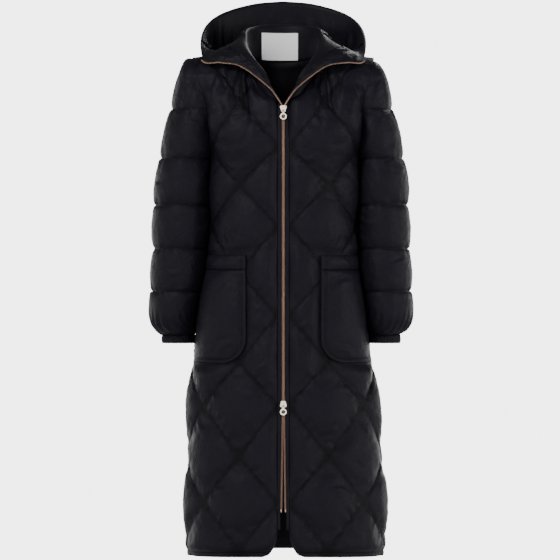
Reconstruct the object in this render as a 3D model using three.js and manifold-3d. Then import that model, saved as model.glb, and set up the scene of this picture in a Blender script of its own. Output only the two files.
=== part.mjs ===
// A long hooded puffer coat, filled out as it is worn, zip closed from the chest to the knee.
// Millimetres, +Z up, the front faces -Y, +X is the viewer's right.
// The origin is where the coat hangs on the shoulders: mid neck, level with the neck's side points.
import * as THREE from "three";
import { mergeVertices } from "three/addons/utils/BufferGeometryUtils.js";
import Module from "manifold-3d";

const wasm = await Module();
wasm.setup();

// Driving sizes
const WALL = 3; // shell, padding and backing where a stitch line pulls them together
const LOFT = 12; // how far the silhouette stands outside the plain inner surface
const SEAM = 0.3; // space left between neighbouring pieces
const ARMHOLE_SEAM = 0.25; // half of it at the armhole, where two bulging walls meet
const HEM = -1152; // the hem's height
const HEM_STITCH = -1144;
const UNDERARM = -219;
const HIPS_TOP = -467; // where the pockets start
const PANEL_EDGE = 13.5; // the fronts start this far from the zip's middle
const DIAMOND = 87; // half the width of a quilting diamond
const DIAMOND_LOFT = 17;
const CHANNEL_LOFT = 13;

const ARMHOLE = { top: -16, bottom: UNDERARM, halfDepth: 70 };
const NECK = { side: 80, back: 78, backDrop: 12, front: 112, frontDrop: 105 };
const SHOULDER = { x: 212, z: ARMHOLE.top };
const POCKET = {
  edge: 84, top: HIPS_TOP, band: 34, bottom: -716, corner: 55, rest: 6.2, side: 3.9, loft: 17,
};
const LABEL = { middle: -8, width: 88, bottom: -8, top: 57 };

// Heights where the diamonds' stitch lines cross, from the hem up
const CROSSINGS = [HEM_STITCH, -1037, -931, -814, -713, -607, -508, -400, -306, UNDERARM, -111, -8];

// The body's outer section: half width, how far it leans to the right, depth in front and behind
const BODY = [
  { z: HEM, half: 230, lean: 5, front: 158, back: 166 },
  { z: -1037, half: 230, lean: 5, front: 159, back: 165 },
  { z: -931, half: 224, lean: 3, front: 157, back: 162 },
  { z: -814, half: 219, lean: 0, front: 153, back: 158 },
  { z: -713, half: 208, lean: -2, front: 149, back: 154 },
  { z: -607, half: 195, lean: -4, front: 145, back: 149 },
  { z: -508, half: 181, lean: -2, front: 142, back: 142 },
  { z: -400, half: 174, lean: 1, front: 140, back: 137 },
  { z: -306, half: 173, lean: 2, front: 140, back: 139 },
  { z: UNDERARM, half: 178, lean: 5, front: 140, back: 142 },
];

// The armhole seam's distance from the middle, by height
const ARMHOLE_LINE = [
  { z: UNDERARM, x: 166 },
  { z: -160, x: 176 },
  { z: -110, x: 183 },
  { z: -70, x: 195 },
  { z: -35, x: 207 },
  { z: ARMHOLE.top, x: SHOULDER.x },
];

// The sleeves' far silhouette and half depth by height; their near side follows the body
const SLEEVE = [
  { z: -651, far: 286, depth: 41 },
  { z: -639, far: 294, depth: 54 },
  { z: -616, far: 304, depth: 68 },
  { z: -570, far: 306, depth: 74 },
  { z: -455, far: 301, depth: 77 },
  { z: -350, far: 298, depth: 79 },
  { z: -290, far: 291, depth: 80 },
  { z: -242, far: 284, depth: 80 },
  { z: UNDERARM, far: 279, depth: 80 },
  { z: -156, far: 265, depth: 80 },
  { z: -110, far: 254, depth: 80 },
  { z: -64, far: 243, depth: 80 },
  { z: -36, far: 235, depth: 80 },
  { z: ARMHOLE.top, far: 227, depth: 80 },
];
const SLEEVE_CHANNELS = [-651, -550, -451, -350, -242, -127, ARMHOLE.top];
const SLEEVE_ROWS = [
  -651, -640, -625, -600, -575, -550, -517, -484, -451, -417, -384, -350, -314, -278, -242,
  UNDERARM, -185, -156, -127, -92, -62, -36, ARMHOLE.top,
];
const SLEEVE_COLUMNS = 18;
const SLEEVE_LEAN = { left: 5, right: -5 };
const NEAR_BODY = 9; // the sleeve's inner surface stands this far outside the body's silhouette
const CUFF = { height: 20, wall: 2.4, rib: 2.2, rows: 2 };

// The hood and collar by station, from the centre back (0) round to the zip (1): how far the cloth
// rolls out and up over the neck seam, where its free edge lies, and how far the bag hangs
const HOOD = [
  { turn: 0.0, out: 15, up: 82, x: 0, y: 158, z: 134, drop: 245, back: 58 },
  { turn: 0.15, out: 15, up: 80, x: 64, y: 151, z: 126, drop: 222, back: 54 },
  { turn: 0.3, out: 14, up: 72, x: 130, y: 120, z: 103, drop: 160, back: 42 },
  { turn: 0.42, out: 12, up: 62, x: 171, y: 74, z: 72, drop: 85, back: 24 },
  { turn: 0.51, out: 11, up: 50, x: 190, y: 6, z: 26, drop: 30, back: 8 },
  { turn: 0.57, out: 12, up: 48, x: 184, y: -52, z: -14, drop: 6, back: 0 },
  { turn: 0.66, out: 13, up: 50, x: 144, y: -80, z: -18, drop: 0, back: 0 },
  { turn: 0.76, out: 11, up: 53, x: 100, y: -94, z: -26, drop: 0, back: 0 },
  { turn: 0.87, out: 8, up: 48, x: 58, y: -118, z: -54, drop: 0, back: 0 },
  { turn: 0.95, out: 5, up: 18, x: 27, y: -130, z: -84, drop: 0, back: 0 },
  { turn: 1.0, out: 1, up: 4, x: 7, y: -127, z: -112, drop: 0, back: 0 },
];
const HOOD_STEP = 0.0625; // of the turn, between the hood's columns
const HOOD_WALL = 4;
const HOOD_LOFT = 9;
const GUSSET = 0.125; // where the centre strip meets the sides
const SIDE_TURN = 0.5; // the turn over the neck's side points
const CREST = 2; // the path's numbers: the neck seam is 0, the crest 2, the free edge 5
const FACING_FROM = 3.5;
const EDGE = 5;

const ZIP = { half: 3.4, bottom: -1050, lower: -816, upper: -121, slit: 3, under: 1.5, high: 3.5 };
const PLACKET = { bottom: -1098, top: -124, high: 4.5 };
const SLIDER = { upper: -122, lower: -816, long: 14, wide: 15, narrow: 9, thick: 3, clear: 0.5 };
const PULL = { pin: 0.9, eye: 2.3, ring: 7.8, hole: 4.6, thick: 1.8, drop: 13 };
const CORD = { radius: 2, sides: 8, steps: 12 };
const EYELET = { turn: 0.755, along: 4.3, radius: 5, hole: 2.6, thick: 1.6, off: 0.7 };

const SHELL = { color: 0x1c1b20, roughness: 0.45 };
const INSIDE = { color: 0x1a191e, roughness: 0.5 };
const PAPER = { color: 0xd9d9d9, roughness: 0.8 };
const COPPER = { color: 0xb08a78, roughness: 0.3, metalness: 1 };
const CHAMPAGNE = { color: 0xe6dfcc, roughness: 0.25, metalness: 1 };
const CORD_BLACK = { color: 0x101012, roughness: 0.7 };

const coat = new THREE.Group();

// Small helpers
const V = (x, y, z) => new THREE.Vector3(x, y, z);
const mix = (a, b, t) => a + (b - a) * t;
const wrap = (x, n) => ((x % n) + n) % n;
const clamp = (x, a, b) => Math.min(b, Math.max(a, x));
const smooth = (t) => t * t * (3 - 2 * t);

// A smooth curve through a table's column, the rows sorted by the key column
function read(table, key, at, column) {
  const rows = [...table].sort((a, b) => a[key] - b[key]);
  const last = rows.length - 1;
  const x = clamp(at, rows[0][key], rows[last][key]);
  let k = 0;
  while (k < last - 1 && x > rows[k + 1][key]) k += 1;
  const [a, b] = [rows[k], rows[k + 1]];
  const span = b[key] - a[key];
  const slopeAt = (i) => {
    const p = rows[Math.max(0, i - 1)];
    const q = rows[Math.min(last, i + 1)];
    return (q[column] - p[column]) / (q[key] - p[key]);
  };
  const t = (x - a[key]) / span;
  const [m0, m1] = [slopeAt(k) * span, slopeAt(k + 1) * span];
  const rise = b[column] - a[column];
  return a[column] + t * (m0 + t * (3 * rise - 2 * m0 - m1 + t * (m0 + m1 - 2 * rise)));
}

function addMesh(name, geometry, look) {
  const material = new THREE.MeshStandardMaterial({ metalness: 0, ...look });
  const mesh = new THREE.Mesh(geometry, material);
  mesh.name = name;
  coat.add(mesh);
}

// A wall of cloth over a grid of inner points: its outer points stand off by lift along the
// surface's own direction, or along aim where a seam sets one. hint is the outside's direction
// at the grid's middle, same gives the column whose point a closed row's point shares, and split
// says which way a cell is cut into two triangles.
function wallOver(grid, { lift, aim = () => null, hint, same = (j, i) => i, split = null }) {
  const columns = grid[0].length;
  const id = (j, i) => j * columns + same(j, i);
  const inner = grid.flat();
  const rise = grid.flatMap((row, j) => row.map((p, i) => lift(j, i)));
  const faces = [];
  for (let j = 0; j < grid.length - 1; j += 1) {
    for (let i = 0; i < columns - 1; i += 1) {
      const [a, b, c, d] = [id(j, i), id(j, i + 1), id(j + 1, i + 1), id(j + 1, i)];
      const alongAC = split ? split(j, i) : rise[a] + rise[c] <= rise[b] + rise[d];
      faces.push(...(alongAC ? [[a, b, c], [a, c, d]] : [[a, b, d], [b, c, d]]));
    }
  }
  const normals = inner.map(() => V(0, 0, 0));
  for (const [a, b, c] of faces) {
    const n = V(0, 0, 0).crossVectors(
      inner[b].clone().sub(inner[a]),
      inner[c].clone().sub(inner[a]),
    );
    for (const k of [a, b, c]) normals[k].add(n);
  }
  const middle = id(Math.floor(grid.length / 2), Math.floor(columns / 2));
  const turned = normals[middle].dot(hint) < 0 ? -1 : 1;
  const outer = inner.map((p, k) => {
    const own = normals[k].clone().normalize().multiplyScalar(turned);
    const dir = aim(Math.floor(k / columns), k % columns) || own;
    return p.clone().addScaledVector(dir, rise[k]);
  });
  const triangles = [];
  const open = new Map();
  for (const [a, b, c] of faces) {
    triangles.push([outer[a], outer[b], outer[c]], [inner[c], inner[b], inner[a]]);
    for (const [p, q] of [[a, b], [b, c], [c, a]]) {
      if (open.has(`${q} ${p}`)) open.delete(`${q} ${p}`);
      else open.set(`${p} ${q}`, [p, q]);
    }
  }
  for (const [p, q] of open.values()) {
    triangles.push([outer[q], outer[p], inner[p]], [outer[q], inner[p], inner[q]]);
  }
  return trianglesOut(triangles);
}

// A closed geometry from triangles that all face one way, turned to face out
function trianglesOut(triangles) {
  const kept = triangles.filter(
    ([a, b, c]) => a.distanceTo(b) > 1e-3 && b.distanceTo(c) > 1e-3 && c.distanceTo(a) > 1e-3,
  );
  let volume = 0;
  for (const [a, b, c] of kept) volume += a.dot(V(0, 0, 0).crossVectors(b, c));
  const faced = volume < 0 ? kept.map(([a, b, c]) => [c, b, a]) : kept;
  const positions = faced.flatMap((t) => t.flatMap((p) => [p.x, p.y, p.z]));
  const geometry = new THREE.BufferGeometry();
  geometry.setAttribute("position", new THREE.Float32BufferAttribute(positions, 3));
  geometry.computeVertexNormals();
  return geometry;
}

// Several closed geometries joined into one
function fuse(...pieces) {
  const solids = pieces.map((piece) => {
    const bare = piece.clone();
    bare.deleteAttribute("normal");
    bare.deleteAttribute("uv");
    const merged = mergeVertices(bare, 1e-4);
    return new wasm.Manifold(
      new wasm.Mesh({
        numProp: 3,
        vertProperties: merged.attributes.position.array,
        triVerts: new Uint32Array(merged.index.array),
      }),
    );
  });
  const mesh = solids.reduce((a, b) => a.add(b)).getMesh();
  const geometry = new THREE.BufferGeometry();
  geometry.setAttribute("position", new THREE.BufferAttribute(mesh.vertProperties, 3));
  geometry.setIndex(new THREE.BufferAttribute(mesh.triVerts, 1));
  geometry.computeVertexNormals();
  return geometry;
}

// A quarter of the body's inner section at a height, as points by their distance along it
const sectionCache = new Map();
function quarter(side, face, z) {
  const key = `${side} ${face} ${z.toFixed(2)}`;
  if (sectionCache.has(key)) return sectionCache.get(key);
  const half = read(BODY, "z", z, "half") + side * read(BODY, "z", z, "lean") - LOFT;
  const depth = read(BODY, "z", z, face < 0 ? "front" : "back") - LOFT;
  const power = 2 / 2.35;
  const points = [];
  const steps = 48;
  for (let k = 0; k <= steps; k += 1) {
    const angle = (Math.PI / 2) * (k / steps);
    const x = side * half * Math.pow(Math.sin(angle), power);
    const y = face * depth * Math.pow(Math.max(0, Math.cos(angle)), power);
    points.push({ p: V(x, y, z), s: 0 });
  }
  for (let k = 1; k <= steps; k += 1) {
    points[k].s = points[k - 1].s + points[k].p.distanceTo(points[k - 1].p);
  }
  sectionCache.set(key, points);
  return points;
}
const quarterLength = (side, face, z) => quarter(side, face, z).at(-1).s;
function bodyPoint(side, face, s, z) {
  const points = quarter(side, face, z);
  let k = 1;
  while (k < points.length - 1 && points[k].s < s) k += 1;
  const [a, b] = [points[k - 1], points[k]];
  return a.p.clone().lerp(b.p, (s - a.s) / (b.s - a.s));
}

// The armhole seam: angle 0 at the shoulder point, pi under the arm; face -1 in front
function armholePoint(side, face, angle) {
  const middle = (ARMHOLE.top + ARMHOLE.bottom) / 2;
  const z = middle + ((ARMHOLE.top - ARMHOLE.bottom) / 2) * Math.cos(angle);
  const lean = side * read(BODY, "z", UNDERARM, "lean") * (1 - Math.cos(angle)) * 0.5;
  const x = read(ARMHOLE_LINE, "z", z, "x") + lean;
  return V(side * x, face * ARMHOLE.halfDepth * Math.sin(angle), z);
}
function armholeOut(side, face, angle) {
  const under = 0.5 * (1 - Math.cos(angle));
  return V(side * 0.8 * under, face * Math.sin(angle), Math.cos(angle)).normalize();
}

// The neck seam, part 0 at the centre back or front and 1 at the neck's side point, straight
// between the points where the panels' columns meet it
const NECK_COLUMNS = 4;
function neckPoint(side, face, part) {
  const k = Math.min(NECK_COLUMNS - 1, Math.floor(part * NECK_COLUMNS + 1e-9));
  const [a, b] = [neckCurve(side, face, k / NECK_COLUMNS), neckCurve(side, face, (k + 1) / NECK_COLUMNS)];
  return a.lerp(b, part * NECK_COLUMNS - k);
}
function neckCurve(side, face, part) {
  const angle = (Math.PI / 2) * part;
  if (face > 0) {
    const [x, y] = [NECK.side * Math.sin(angle), NECK.back * Math.cos(angle)];
    return V(side * x, y, -NECK.backDrop * Math.cos(angle));
  }
  const x = mix(PANEL_EDGE, NECK.side, Math.sin(angle));
  const z = -NECK.frontDrop * Math.pow(Math.cos(angle), 1.3);
  return V(side * x, -NECK.front * Math.cos(angle), z);
}
const neckOut = (p) => V(p.x, p.y, 0).normalize().add(V(0, 0, 0.5)).normalize();

// Quilting: 0 on a stitch line, 1 in the middle of a diamond two rows high and two columns wide
function cushion(column, row) {
  const rise = (v) => Math.sin((Math.PI / 2) * Math.abs(wrap(v, 2) - 1));
  return Math.pow(Math.max(0, rise(column + row) * rise(column - row)), 0.6);
}
function diamond(s, z, first) {
  const rows = CROSSINGS;
  let k = 0;
  while (k < rows.length - 2 && z > rows[k + 1]) k += 1;
  const row = k + (z - rows[k]) / (rows[k + 1] - rows[k]);
  const column = (s - first) / DIAMOND;
  return cushion(column, row);
}
const nearSleeve = (s, length, z) => (z > -690 ? clamp((length - s) / 60, 0.3, 1) : 1);

// Rows of a body panel: three to a stitch row, from the hem to the underarm
function panelHeights() {
  const heights = [HEM];
  for (let k = 0; CROSSINGS[k] < UNDERARM; k += 1) {
    for (const part of [0, 1 / 3, 2 / 3]) heights.push(mix(CROSSINGS[k], CROSSINGS[k + 1], part));
  }
  return [...heights, UNDERARM];
}
const YOKE_HEIGHTS = SLEEVE_ROWS.filter((z) => z > UNDERARM);
const YOKE_ROWS = YOKE_HEIGHTS.length;
function armholeAngle(z) {
  const middle = (ARMHOLE.top + ARMHOLE.bottom) / 2;
  return Math.acos(clamp((z - middle) / ((ARMHOLE.top - ARMHOLE.bottom) / 2), -1, 1));
}
const LOOSE = [1 / 3, 2 / 3, 1]; // columns between the last even one and the side seam

// A body panel's half, from its centre line to the side seam and up to the neck and shoulder:
// rows of inner points, each with its distance s from the middle along the flat cloth
function panelHalf({ side, face, columns, startAt }) {
  const neckColumn = NECK_COLUMNS;
  const rows = panelHeights().map((z) => {
    const length = quarterLength(side, face, z) - SEAM / 2;
    const from = startAt(z);
    const last = columns.at(-1);
    const even = columns.map((s) => mix(from, last, (s - columns[0]) / (last - columns[0])));
    const loose = LOOSE.map((part) => mix(last, length, part));
    return [...even, ...loose].map((s) => ({ p: bodyPoint(side, face, s, z), s, z, length }));
  });
  const base = rows.at(-1);
  const end = base.length - 1;
  const seam = V(0, (face * SEAM) / 2, 0);
  const top = base.map((_, i) => {
    if (i <= neckColumn) return neckPoint(side, face, i / neckColumn).add(seam);
    const part = (i - neckColumn) / (end - neckColumn);
    const x = side * mix(NECK.side, SHOULDER.x, part);
    return V(x, 0, SHOULDER.z * Math.pow(part, 1.15)).add(seam);
  });
  for (let k = 1; k <= YOKE_ROWS; k += 1) {
    const t = k / YOKE_ROWS;
    const centre = base[0].p.clone().lerp(top[0], t);
    centre.y = mix(base[0].p.y, top[0].y, Math.pow(t, 1.7));
    const angle = armholeAngle(YOKE_HEIGHTS[k - 1]);
    const arm = armholePoint(side, face, angle).add(seam);
    arm.x -= side * ARMHOLE_SEAM;
    rows.push(base.map((cell, i) => {
      const f = i / end;
      const p = V(0, 0, 0);
      for (const axis of ["x", "y", "z"]) {
        const rising = mix(cell.p[axis], top[i][axis], t);
        const crossing = mix(centre[axis], arm[axis], f);
        const low = mix(base[0].p[axis], base[end].p[axis], f);
        const high = mix(top[0][axis], top[end][axis], f);
        p[axis] = rising + crossing - mix(low, high, t);
      }
      const flat = mix(cell.s, Math.abs(p.x) * 1.04, smooth(clamp(t * 1.6, 0, 1)));
      return { p, s: flat, z: p.z, toArmhole: end - i, angle };
    }));
  }
  return rows;
}

// How far a panel's outer surface stands off at a point of its flat cloth
function panelLift(cell, first, extra = 0) {
  const side = cell.toArmhole === undefined
    ? nearSleeve(cell.s, cell.length, cell.z) * nearUnderarm(cell)
    : clamp((cell.toArmhole - 1) / 2.5, 0, 1);
  const puff = DIAMOND_LOFT * diamond(cell.s, cell.z, first) * side;
  return WALL + puff * (1 - underPocket(cell, first)) + extra;
}
function nearUnderarm(cell) {
  return clamp(Math.hypot(cell.length - cell.s, UNDERARM - cell.z) / 70 - 0.35, 0, 1);
}
function underPocket(cell, first) {
  if (first !== PANEL_EDGE) return 0;
  const ramp = (distance) => clamp((distance + 22) / 18, 0, 1);
  const [beside, below] = [ramp(cell.s - POCKET.edge), ramp(POCKET.top - cell.z)];
  return Math.min(beside, below, ramp(cell.z - POCKET.bottom));
}
// Upright gathers of a front below the collar
function gathers(i, cell) {
  const down = clamp((cell.z + 150) / 60, 0, 1);
  const across = clamp((cell.s - 40) / 30, 0, 1) * clamp((170 - cell.s) / 30, 0, 1);
  return (i % 2 ? 3.5 : -1.5) * down * across;
}

const FRONT_COLUMNS = [0, 29, 43.5, 58, 72.5, 87, 101.5, 116, 130.5, 145, 174].map(
  (s) => s + PANEL_EDGE,
);
const BACK_COLUMNS = [0, 29, 58, 87, 116, 145, 174];

function frontEdge(z) {
  const part = clamp((PLACKET.bottom - z) / (PLACKET.bottom - HEM), 0, 1);
  return PANEL_EDGE + 34 * (1 - Math.sqrt(1 - part * part));
}
const fronts = { left: -1, right: 1 };
const frontRows = {};
for (const [name, side] of Object.entries(fronts)) {
  const rows = panelHalf({
    side,
    face: -1,
    columns: FRONT_COLUMNS,
    startAt: frontEdge,
  });
  frontRows[name] = rows;
  const end = rows[0].length - 1;
  const yoke = rows.length - 1 - YOKE_ROWS;
  const onEdge = (j, i) => i === 0 || i === end || j <= 1 || j === rows.length - 1;
  addMesh(
    `front_${name}`,
    wallOver(
      rows.map((row) => row.map((cell) => cell.p)),
      {
        lift: (j, i) => (onEdge(j, i) ? WALL : panelLift(rows[j][i], PANEL_EDGE, gathers(i, rows[j][i]))),
        aim: (j, i) => seamAim(side, -1, rows, j, i, yoke),
        hint: V(0, -1, 0),
      },
    ),
    SHELL,
  );
}

// The way a panel's edge faces at the armhole, neck and shoulder seams
function seamAim(side, face, rows, j, i, yoke) {
  const end = rows[0].length - 1;
  if (i === end && j >= yoke) return armholeOut(side, face, rows[j][i].angle ?? Math.PI);
  if (j < rows.length - 1) return null;
  if (i <= NECK_COLUMNS) return neckOut(rows[j][i].p);
  return V(0, 0, 1);
}

const backHalves = [-1, 1].map((side) =>
  panelHalf({ side, face: 1, columns: BACK_COLUMNS, startAt: () => 0 }),
);
const backRows = backHalves[0].map((row, j) => [...row.slice(1).reverse(), ...backHalves[1][j]]);
const backSide = (i) => (i < backHalves[0][0].length - 1 ? -1 : 1);
const fromMiddle = (i) => Math.abs(i - (backHalves[0][0].length - 1));
{
  const end = backRows[0].length - 1;
  const yoke = backRows.length - 1 - YOKE_ROWS;
  const onEdge = (j, i) => i === 0 || i === end || j <= 1 || j === backRows.length - 1;
  addMesh(
    "back",
    wallOver(
      backRows.map((row) => row.map((cell) => cell.p)),
      {
        lift: (j, i) => (onEdge(j, i) ? WALL : panelLift(backRows[j][i], 0)),
        aim: (j, i) => {
          const half = backHalves[backSide(i) < 0 ? 0 : 1];
          return seamAim(backSide(i), 1, half, j, fromMiddle(i), yoke);
        },
        hint: V(0, 1, 0),
      },
    ),
    SHELL,
  );
  const inside = backRows
    .filter((_, j) => j % 2 === 1 && j < backRows.length - 1)
    .map((row) => row.filter((_, i) => i % 3 === 1 || i === end - 1).map(({ p }) => inward(p)));
  addMesh("lining_back", wallOver(inside, { lift: () => 1, hint: V(0, 1, 0) }), INSIDE);
}
// A point of the back's inner surface moved in to where its lining's inner surface is
function inward(p) {
  const high = p.z > UNDERARM - 40;
  return V(p.x * (high ? 0.94 : 0.98), p.y - 6, p.z - (high ? 9 : 1));
}

// Sleeves: open rows round the armhole above the underarm, closed rings below it
function sleeveRow(side, z) {
  const lean = side < 0 ? SLEEVE_LEAN.left : SLEEVE_LEAN.right;
  const far = read(SLEEVE, "z", z, "far") + lean - LOFT;
  const angle = armholeAngle(z);
  const open = z >= UNDERARM;
  const half = read(BODY, "z", z, "half") + side * read(BODY, "z", z, "lean");
  const near = open ? side * armholePoint(side, -1, angle).x + ARMHOLE_SEAM : half + NEAR_BODY;
  const reach = open ? Math.max(angle, Math.PI / 2) : Math.PI;
  const across = (far - near) / (1 - Math.cos(reach));
  const cap = angle < Math.PI / 2 ? Math.sin(angle) : 1;
  const deep = open ? ARMHOLE.halfDepth * cap : read(SLEEVE, "z", z, "depth") - 10;
  const row = [];
  for (let i = 0; i <= SLEEVE_COLUMNS; i += 1) {
    const turn = reach * ((2 * i) / SLEEVE_COLUMNS - 1);
    const x = far - across + across * Math.cos(turn);
    row.push({ p: V(side * x, deep * Math.sin(turn), z), turn, angle, open });
  }
  return row;
}
function channel(z) {
  let k = 0;
  while (k < SLEEVE_CHANNELS.length - 2 && z > SLEEVE_CHANNELS[k + 1]) k += 1;
  const part = (z - SLEEVE_CHANNELS[k]) / (SLEEVE_CHANNELS[k + 1] - SLEEVE_CHANNELS[k]);
  return Math.pow(Math.sin(Math.PI * clamp(part, 0, 1)), 0.7);
}
const CUFF_GATHER = 3;
for (const [name, side] of Object.entries(fronts)) {
  const rows = SLEEVE_ROWS.map((z) => sleeveRow(side, z));
  const last = rows.length - 1;
  const mirror = (i) => Math.min(i, SLEEVE_COLUMNS - i);
  const lift = (j, i) => {
    const { turn, open } = rows[j][i];
    const z = SLEEVE_ROWS[j];
    if (j === last || j === 0) return WALL;
    const fromSeam = Math.min(i, SLEEVE_COLUMNS - i);
    const facing = open
      ? clamp((fromSeam - 0.6) / 2.4, 0, 1)
      : 0.25 + 0.75 * smooth(clamp((Math.PI - Math.abs(turn)) / 1.4, 0, 1));
    const ripple = (i % 2 ? CUFF_GATHER : -1) * clamp((-590 - z) / 30, 0, 1) * facing;
    return Math.max(2, WALL + CHANNEL_LOFT * channel(z) * facing + ripple);
  };
  const same = (j, i) => {
    if (j === last) return mirror(i);
    return !rows[j][i].open || SLEEVE_ROWS[j] === UNDERARM ? i % SLEEVE_COLUMNS : i;
  };
  const aim = (j, i) => {
    const { open, angle, turn } = rows[j][i];
    if (j === 0) return V(side * Math.cos(turn), Math.sin(turn), 0);
    const reach = SLEEVE_ROWS[j] < -150 ? 1 : 0;
    if (!open || (i > reach && i < SLEEVE_COLUMNS - reach)) return null;
    return armholeOut(side, i < SLEEVE_COLUMNS / 2 ? -1 : 1, angle);
  };
  const grid = rows.map((row) => row.map((cell) => cell.p));
  addMesh(`sleeve_${name}`, wallOver(grid, { lift, aim, same, hint: V(side, 0, 0) }), SHELL);
  const cuffRows = [];
  for (let k = 0; k <= CUFF.rows; k += 1) {
    const drop = 0.4 + (CUFF.height * k) / CUFF.rows;
    cuffRows.push(grid[0].map((p) => p.clone().add(V(0, 0, -drop))));
  }
  const rib = (j, i) => CUFF.wall + (i % 2 ? CUFF.rib : 0);
  const ring = (j, i) => i % SLEEVE_COLUMNS;
  const level = (j, i) => V(side * Math.cos(rows[0][i].turn), Math.sin(rows[0][i].turn), 0);
  const cuff = wallOver(cuffRows, { lift: rib, aim: level, same: ring, hint: V(side, 0, 0) });
  addMesh(`cuff_${name}`, cuff, SHELL);
}

// The hood's cloth: a path from the neck seam (0) over the crest to the free edge (5)
function hoodControls(turn) {
  const side = turn < 0 ? -1 : 1;
  const at = Math.abs(turn);
  const row = (column) => read(HOOD, "turn", at, column);
  const neck = at <= SIDE_TURN
    ? neckPoint(side, 1, at / SIDE_TURN)
    : neckPoint(side, -1, (1 - at) / (1 - SIDE_TURN));
  neck.z += 2 * SEAM;
  const out = V(neck.x, neck.y, 0).normalize();
  const crest = neck.clone().addScaledVector(out, row("out")).add(V(0, 0, row("up")));
  const half = neck.clone().addScaledVector(out, row("out") * 0.2).add(V(0, 0, row("up") * 0.55));
  const edge = V(side * row("x"), row("y"), row("z"));
  const arch = 0.12 * crest.distanceTo(edge) * (1 - clamp(row("drop") / 40, 0, 1));
  const near = crest.clone().lerp(edge, 1 / 3).add(V(0, row("back") / 2, arch - 0.75 * row("drop")));
  const low = crest.clone().lerp(edge, 2 / 3).add(V(0, row("back"), arch - row("drop")));
  return [neck, half, crest, near, low, edge];
}
function hoodPoint(turn, along) {
  const c = hoodControls(turn);
  const k = clamp(Math.floor(along), 0, EDGE - 1);
  const t = along - k;
  const before = k > 0 ? c[k - 1] : c[0].clone().multiplyScalar(2).sub(c[1]);
  const after = k < EDGE - 1 ? c[k + 2] : c[EDGE].clone().multiplyScalar(2).sub(c[EDGE - 1]);
  const p = V(0, 0, 0);
  for (const axis of ["x", "y", "z"]) {
    const [a, b, d, e] = [before[axis], c[k][axis], c[k + 1][axis], after[axis]];
    const bend = t * (2 * a - 5 * b + 4 * d - e + t * (3 * b - a - 3 * d + e));
    p[axis] = b + 0.5 * t * (d - a + bend);
  }
  return p;
}
function hoodOut(turn, along) {
  const step = 0.01;
  const [t0, t1] = [clamp(turn - step, -1, 1), clamp(turn + step, -1, 1)];
  const [a0, a1] = [clamp(along - step, 0, EDGE), clamp(along + step, 0, EDGE)];
  const across = hoodPoint(t1, along).sub(hoodPoint(t0, along));
  const up = hoodPoint(turn, a1).sub(hoodPoint(turn, a0));
  return V(0, 0, 0).crossVectors(up, across).normalize();
}
const span = (from, to, step) => {
  const count = Math.max(1, Math.round(Math.abs(to - from) / step));
  return Array.from({ length: count + 1 }, (_, k) => mix(from, to, k / count));
};
const HOOD_PATH = [0, 1, 1.5, 2, 2.5, 3, 3.5, 3.83, 4, 4.17, 4.33, 4.5, 4.67, 4.83, 5];
const TURN_GAP = 0.0015;
const turnCell = (turns, i) => Math.floor(((turns[i] + turns[i + 1]) / 2 + 1) / HOOD_STEP);
const pathCell = (path, j) => HOOD_PATH.findIndex((v) => v > (path[j] + path[j + 1]) / 2);
const hoodSplit = (turns, path) => (j, i) => (turnCell(turns, i) + pathCell(path, j)) % 2 === 0;
const turnsFrom = (from, to) => span(from, to, HOOD_STEP).map((turn, k, all) => {
  const inset = k === 0 ? TURN_GAP : -TURN_GAP;
  return k === 0 || k === all.length - 1 ? turn + inset : turn;
});
const pathFrom = (from, to) => HOOD_PATH.filter((v) => v >= from && v <= to);

// A stretch of the hood's shell, its quilting raised on the bag that hangs behind
function hoodShell(name, from, to) {
  const turns = turnsFrom(from, to);
  const grid = HOOD_PATH.map((along) => turns.map((turn) => hoodPoint(turn, along)));
  const lift = (j, i) => {
    const [turn, along] = [turns[i], HOOD_PATH[j]];
    if (j === 0) return WALL;
    const edges = j === HOOD_PATH.length - 1 || i === 0 || i === turns.length - 1;
    if (edges) return HOOD_WALL;
    const hanging = clamp(read(HOOD, "turn", Math.abs(turn), "drop") / 90, 0, 1);
    const [column, row] = [turn / GUSSET, (EDGE - along) * 3];
    return HOOD_WALL + HOOD_LOFT * hanging * clamp(along - 2.4, 0, 1) * cushion(column, row);
  };
  const aim = (j, i) => (j === 0 ? neckOut(grid[0][i]) : hoodOut(turns[i], HOOD_PATH[j]));
  const split = hoodSplit(turns, HOOD_PATH);
  addMesh(name, wallOver(grid, { lift, aim, split, hint: aim(8, 1) }), SHELL);
}
hoodShell("hood_centre", -GUSSET, GUSSET);
hoodShell("hood_left", -1, -GUSSET);
hoodShell("hood_right", GUSSET, 1);

// A thin piece on the hood's inner side, moved in from the shell's own points
const THIN = 1.1;
const LIE = 0.6;
function hoodInside(name, turns, path, look) {
  const out = (j, i) => hoodOut(turns[i], path[j]);
  const grid = path.map((along, j) =>
    turns.map((turn, i) => hoodPoint(turn, along).addScaledVector(out(j, i), -LIE - THIN)),
  );
  const split = hoodSplit(turns, path);
  addMesh(name, wallOver(grid, { lift: () => THIN, aim: out, split, hint: out(1, 1) }), look);
}
const facingPath = pathFrom(FACING_FROM, EDGE);
hoodInside("neck_facing", turnsFrom(-SIDE_TURN, SIDE_TURN), [0.08, 1, 1.5, CREST - 0.01], INSIDE);
hoodInside("hood_lining", turnsFrom(-SIDE_TURN, SIDE_TURN), pathFrom(CREST, EDGE), INSIDE);
for (const [name, side] of Object.entries(fronts)) {
  const ends = [side * SIDE_TURN, side * (1 - HOOD_STEP)].sort((a, b) => a - b);
  const turns = turnsFrom(...ends);
  hoodInside(`collar_lining_${name}`, turns, [0.12, 1, 1.5, 2, 2.5, 3, FACING_FROM - 0.08], INSIDE);
  hoodInside(`facing_${name}`, turns, facingPath, INSIDE);
}

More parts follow.
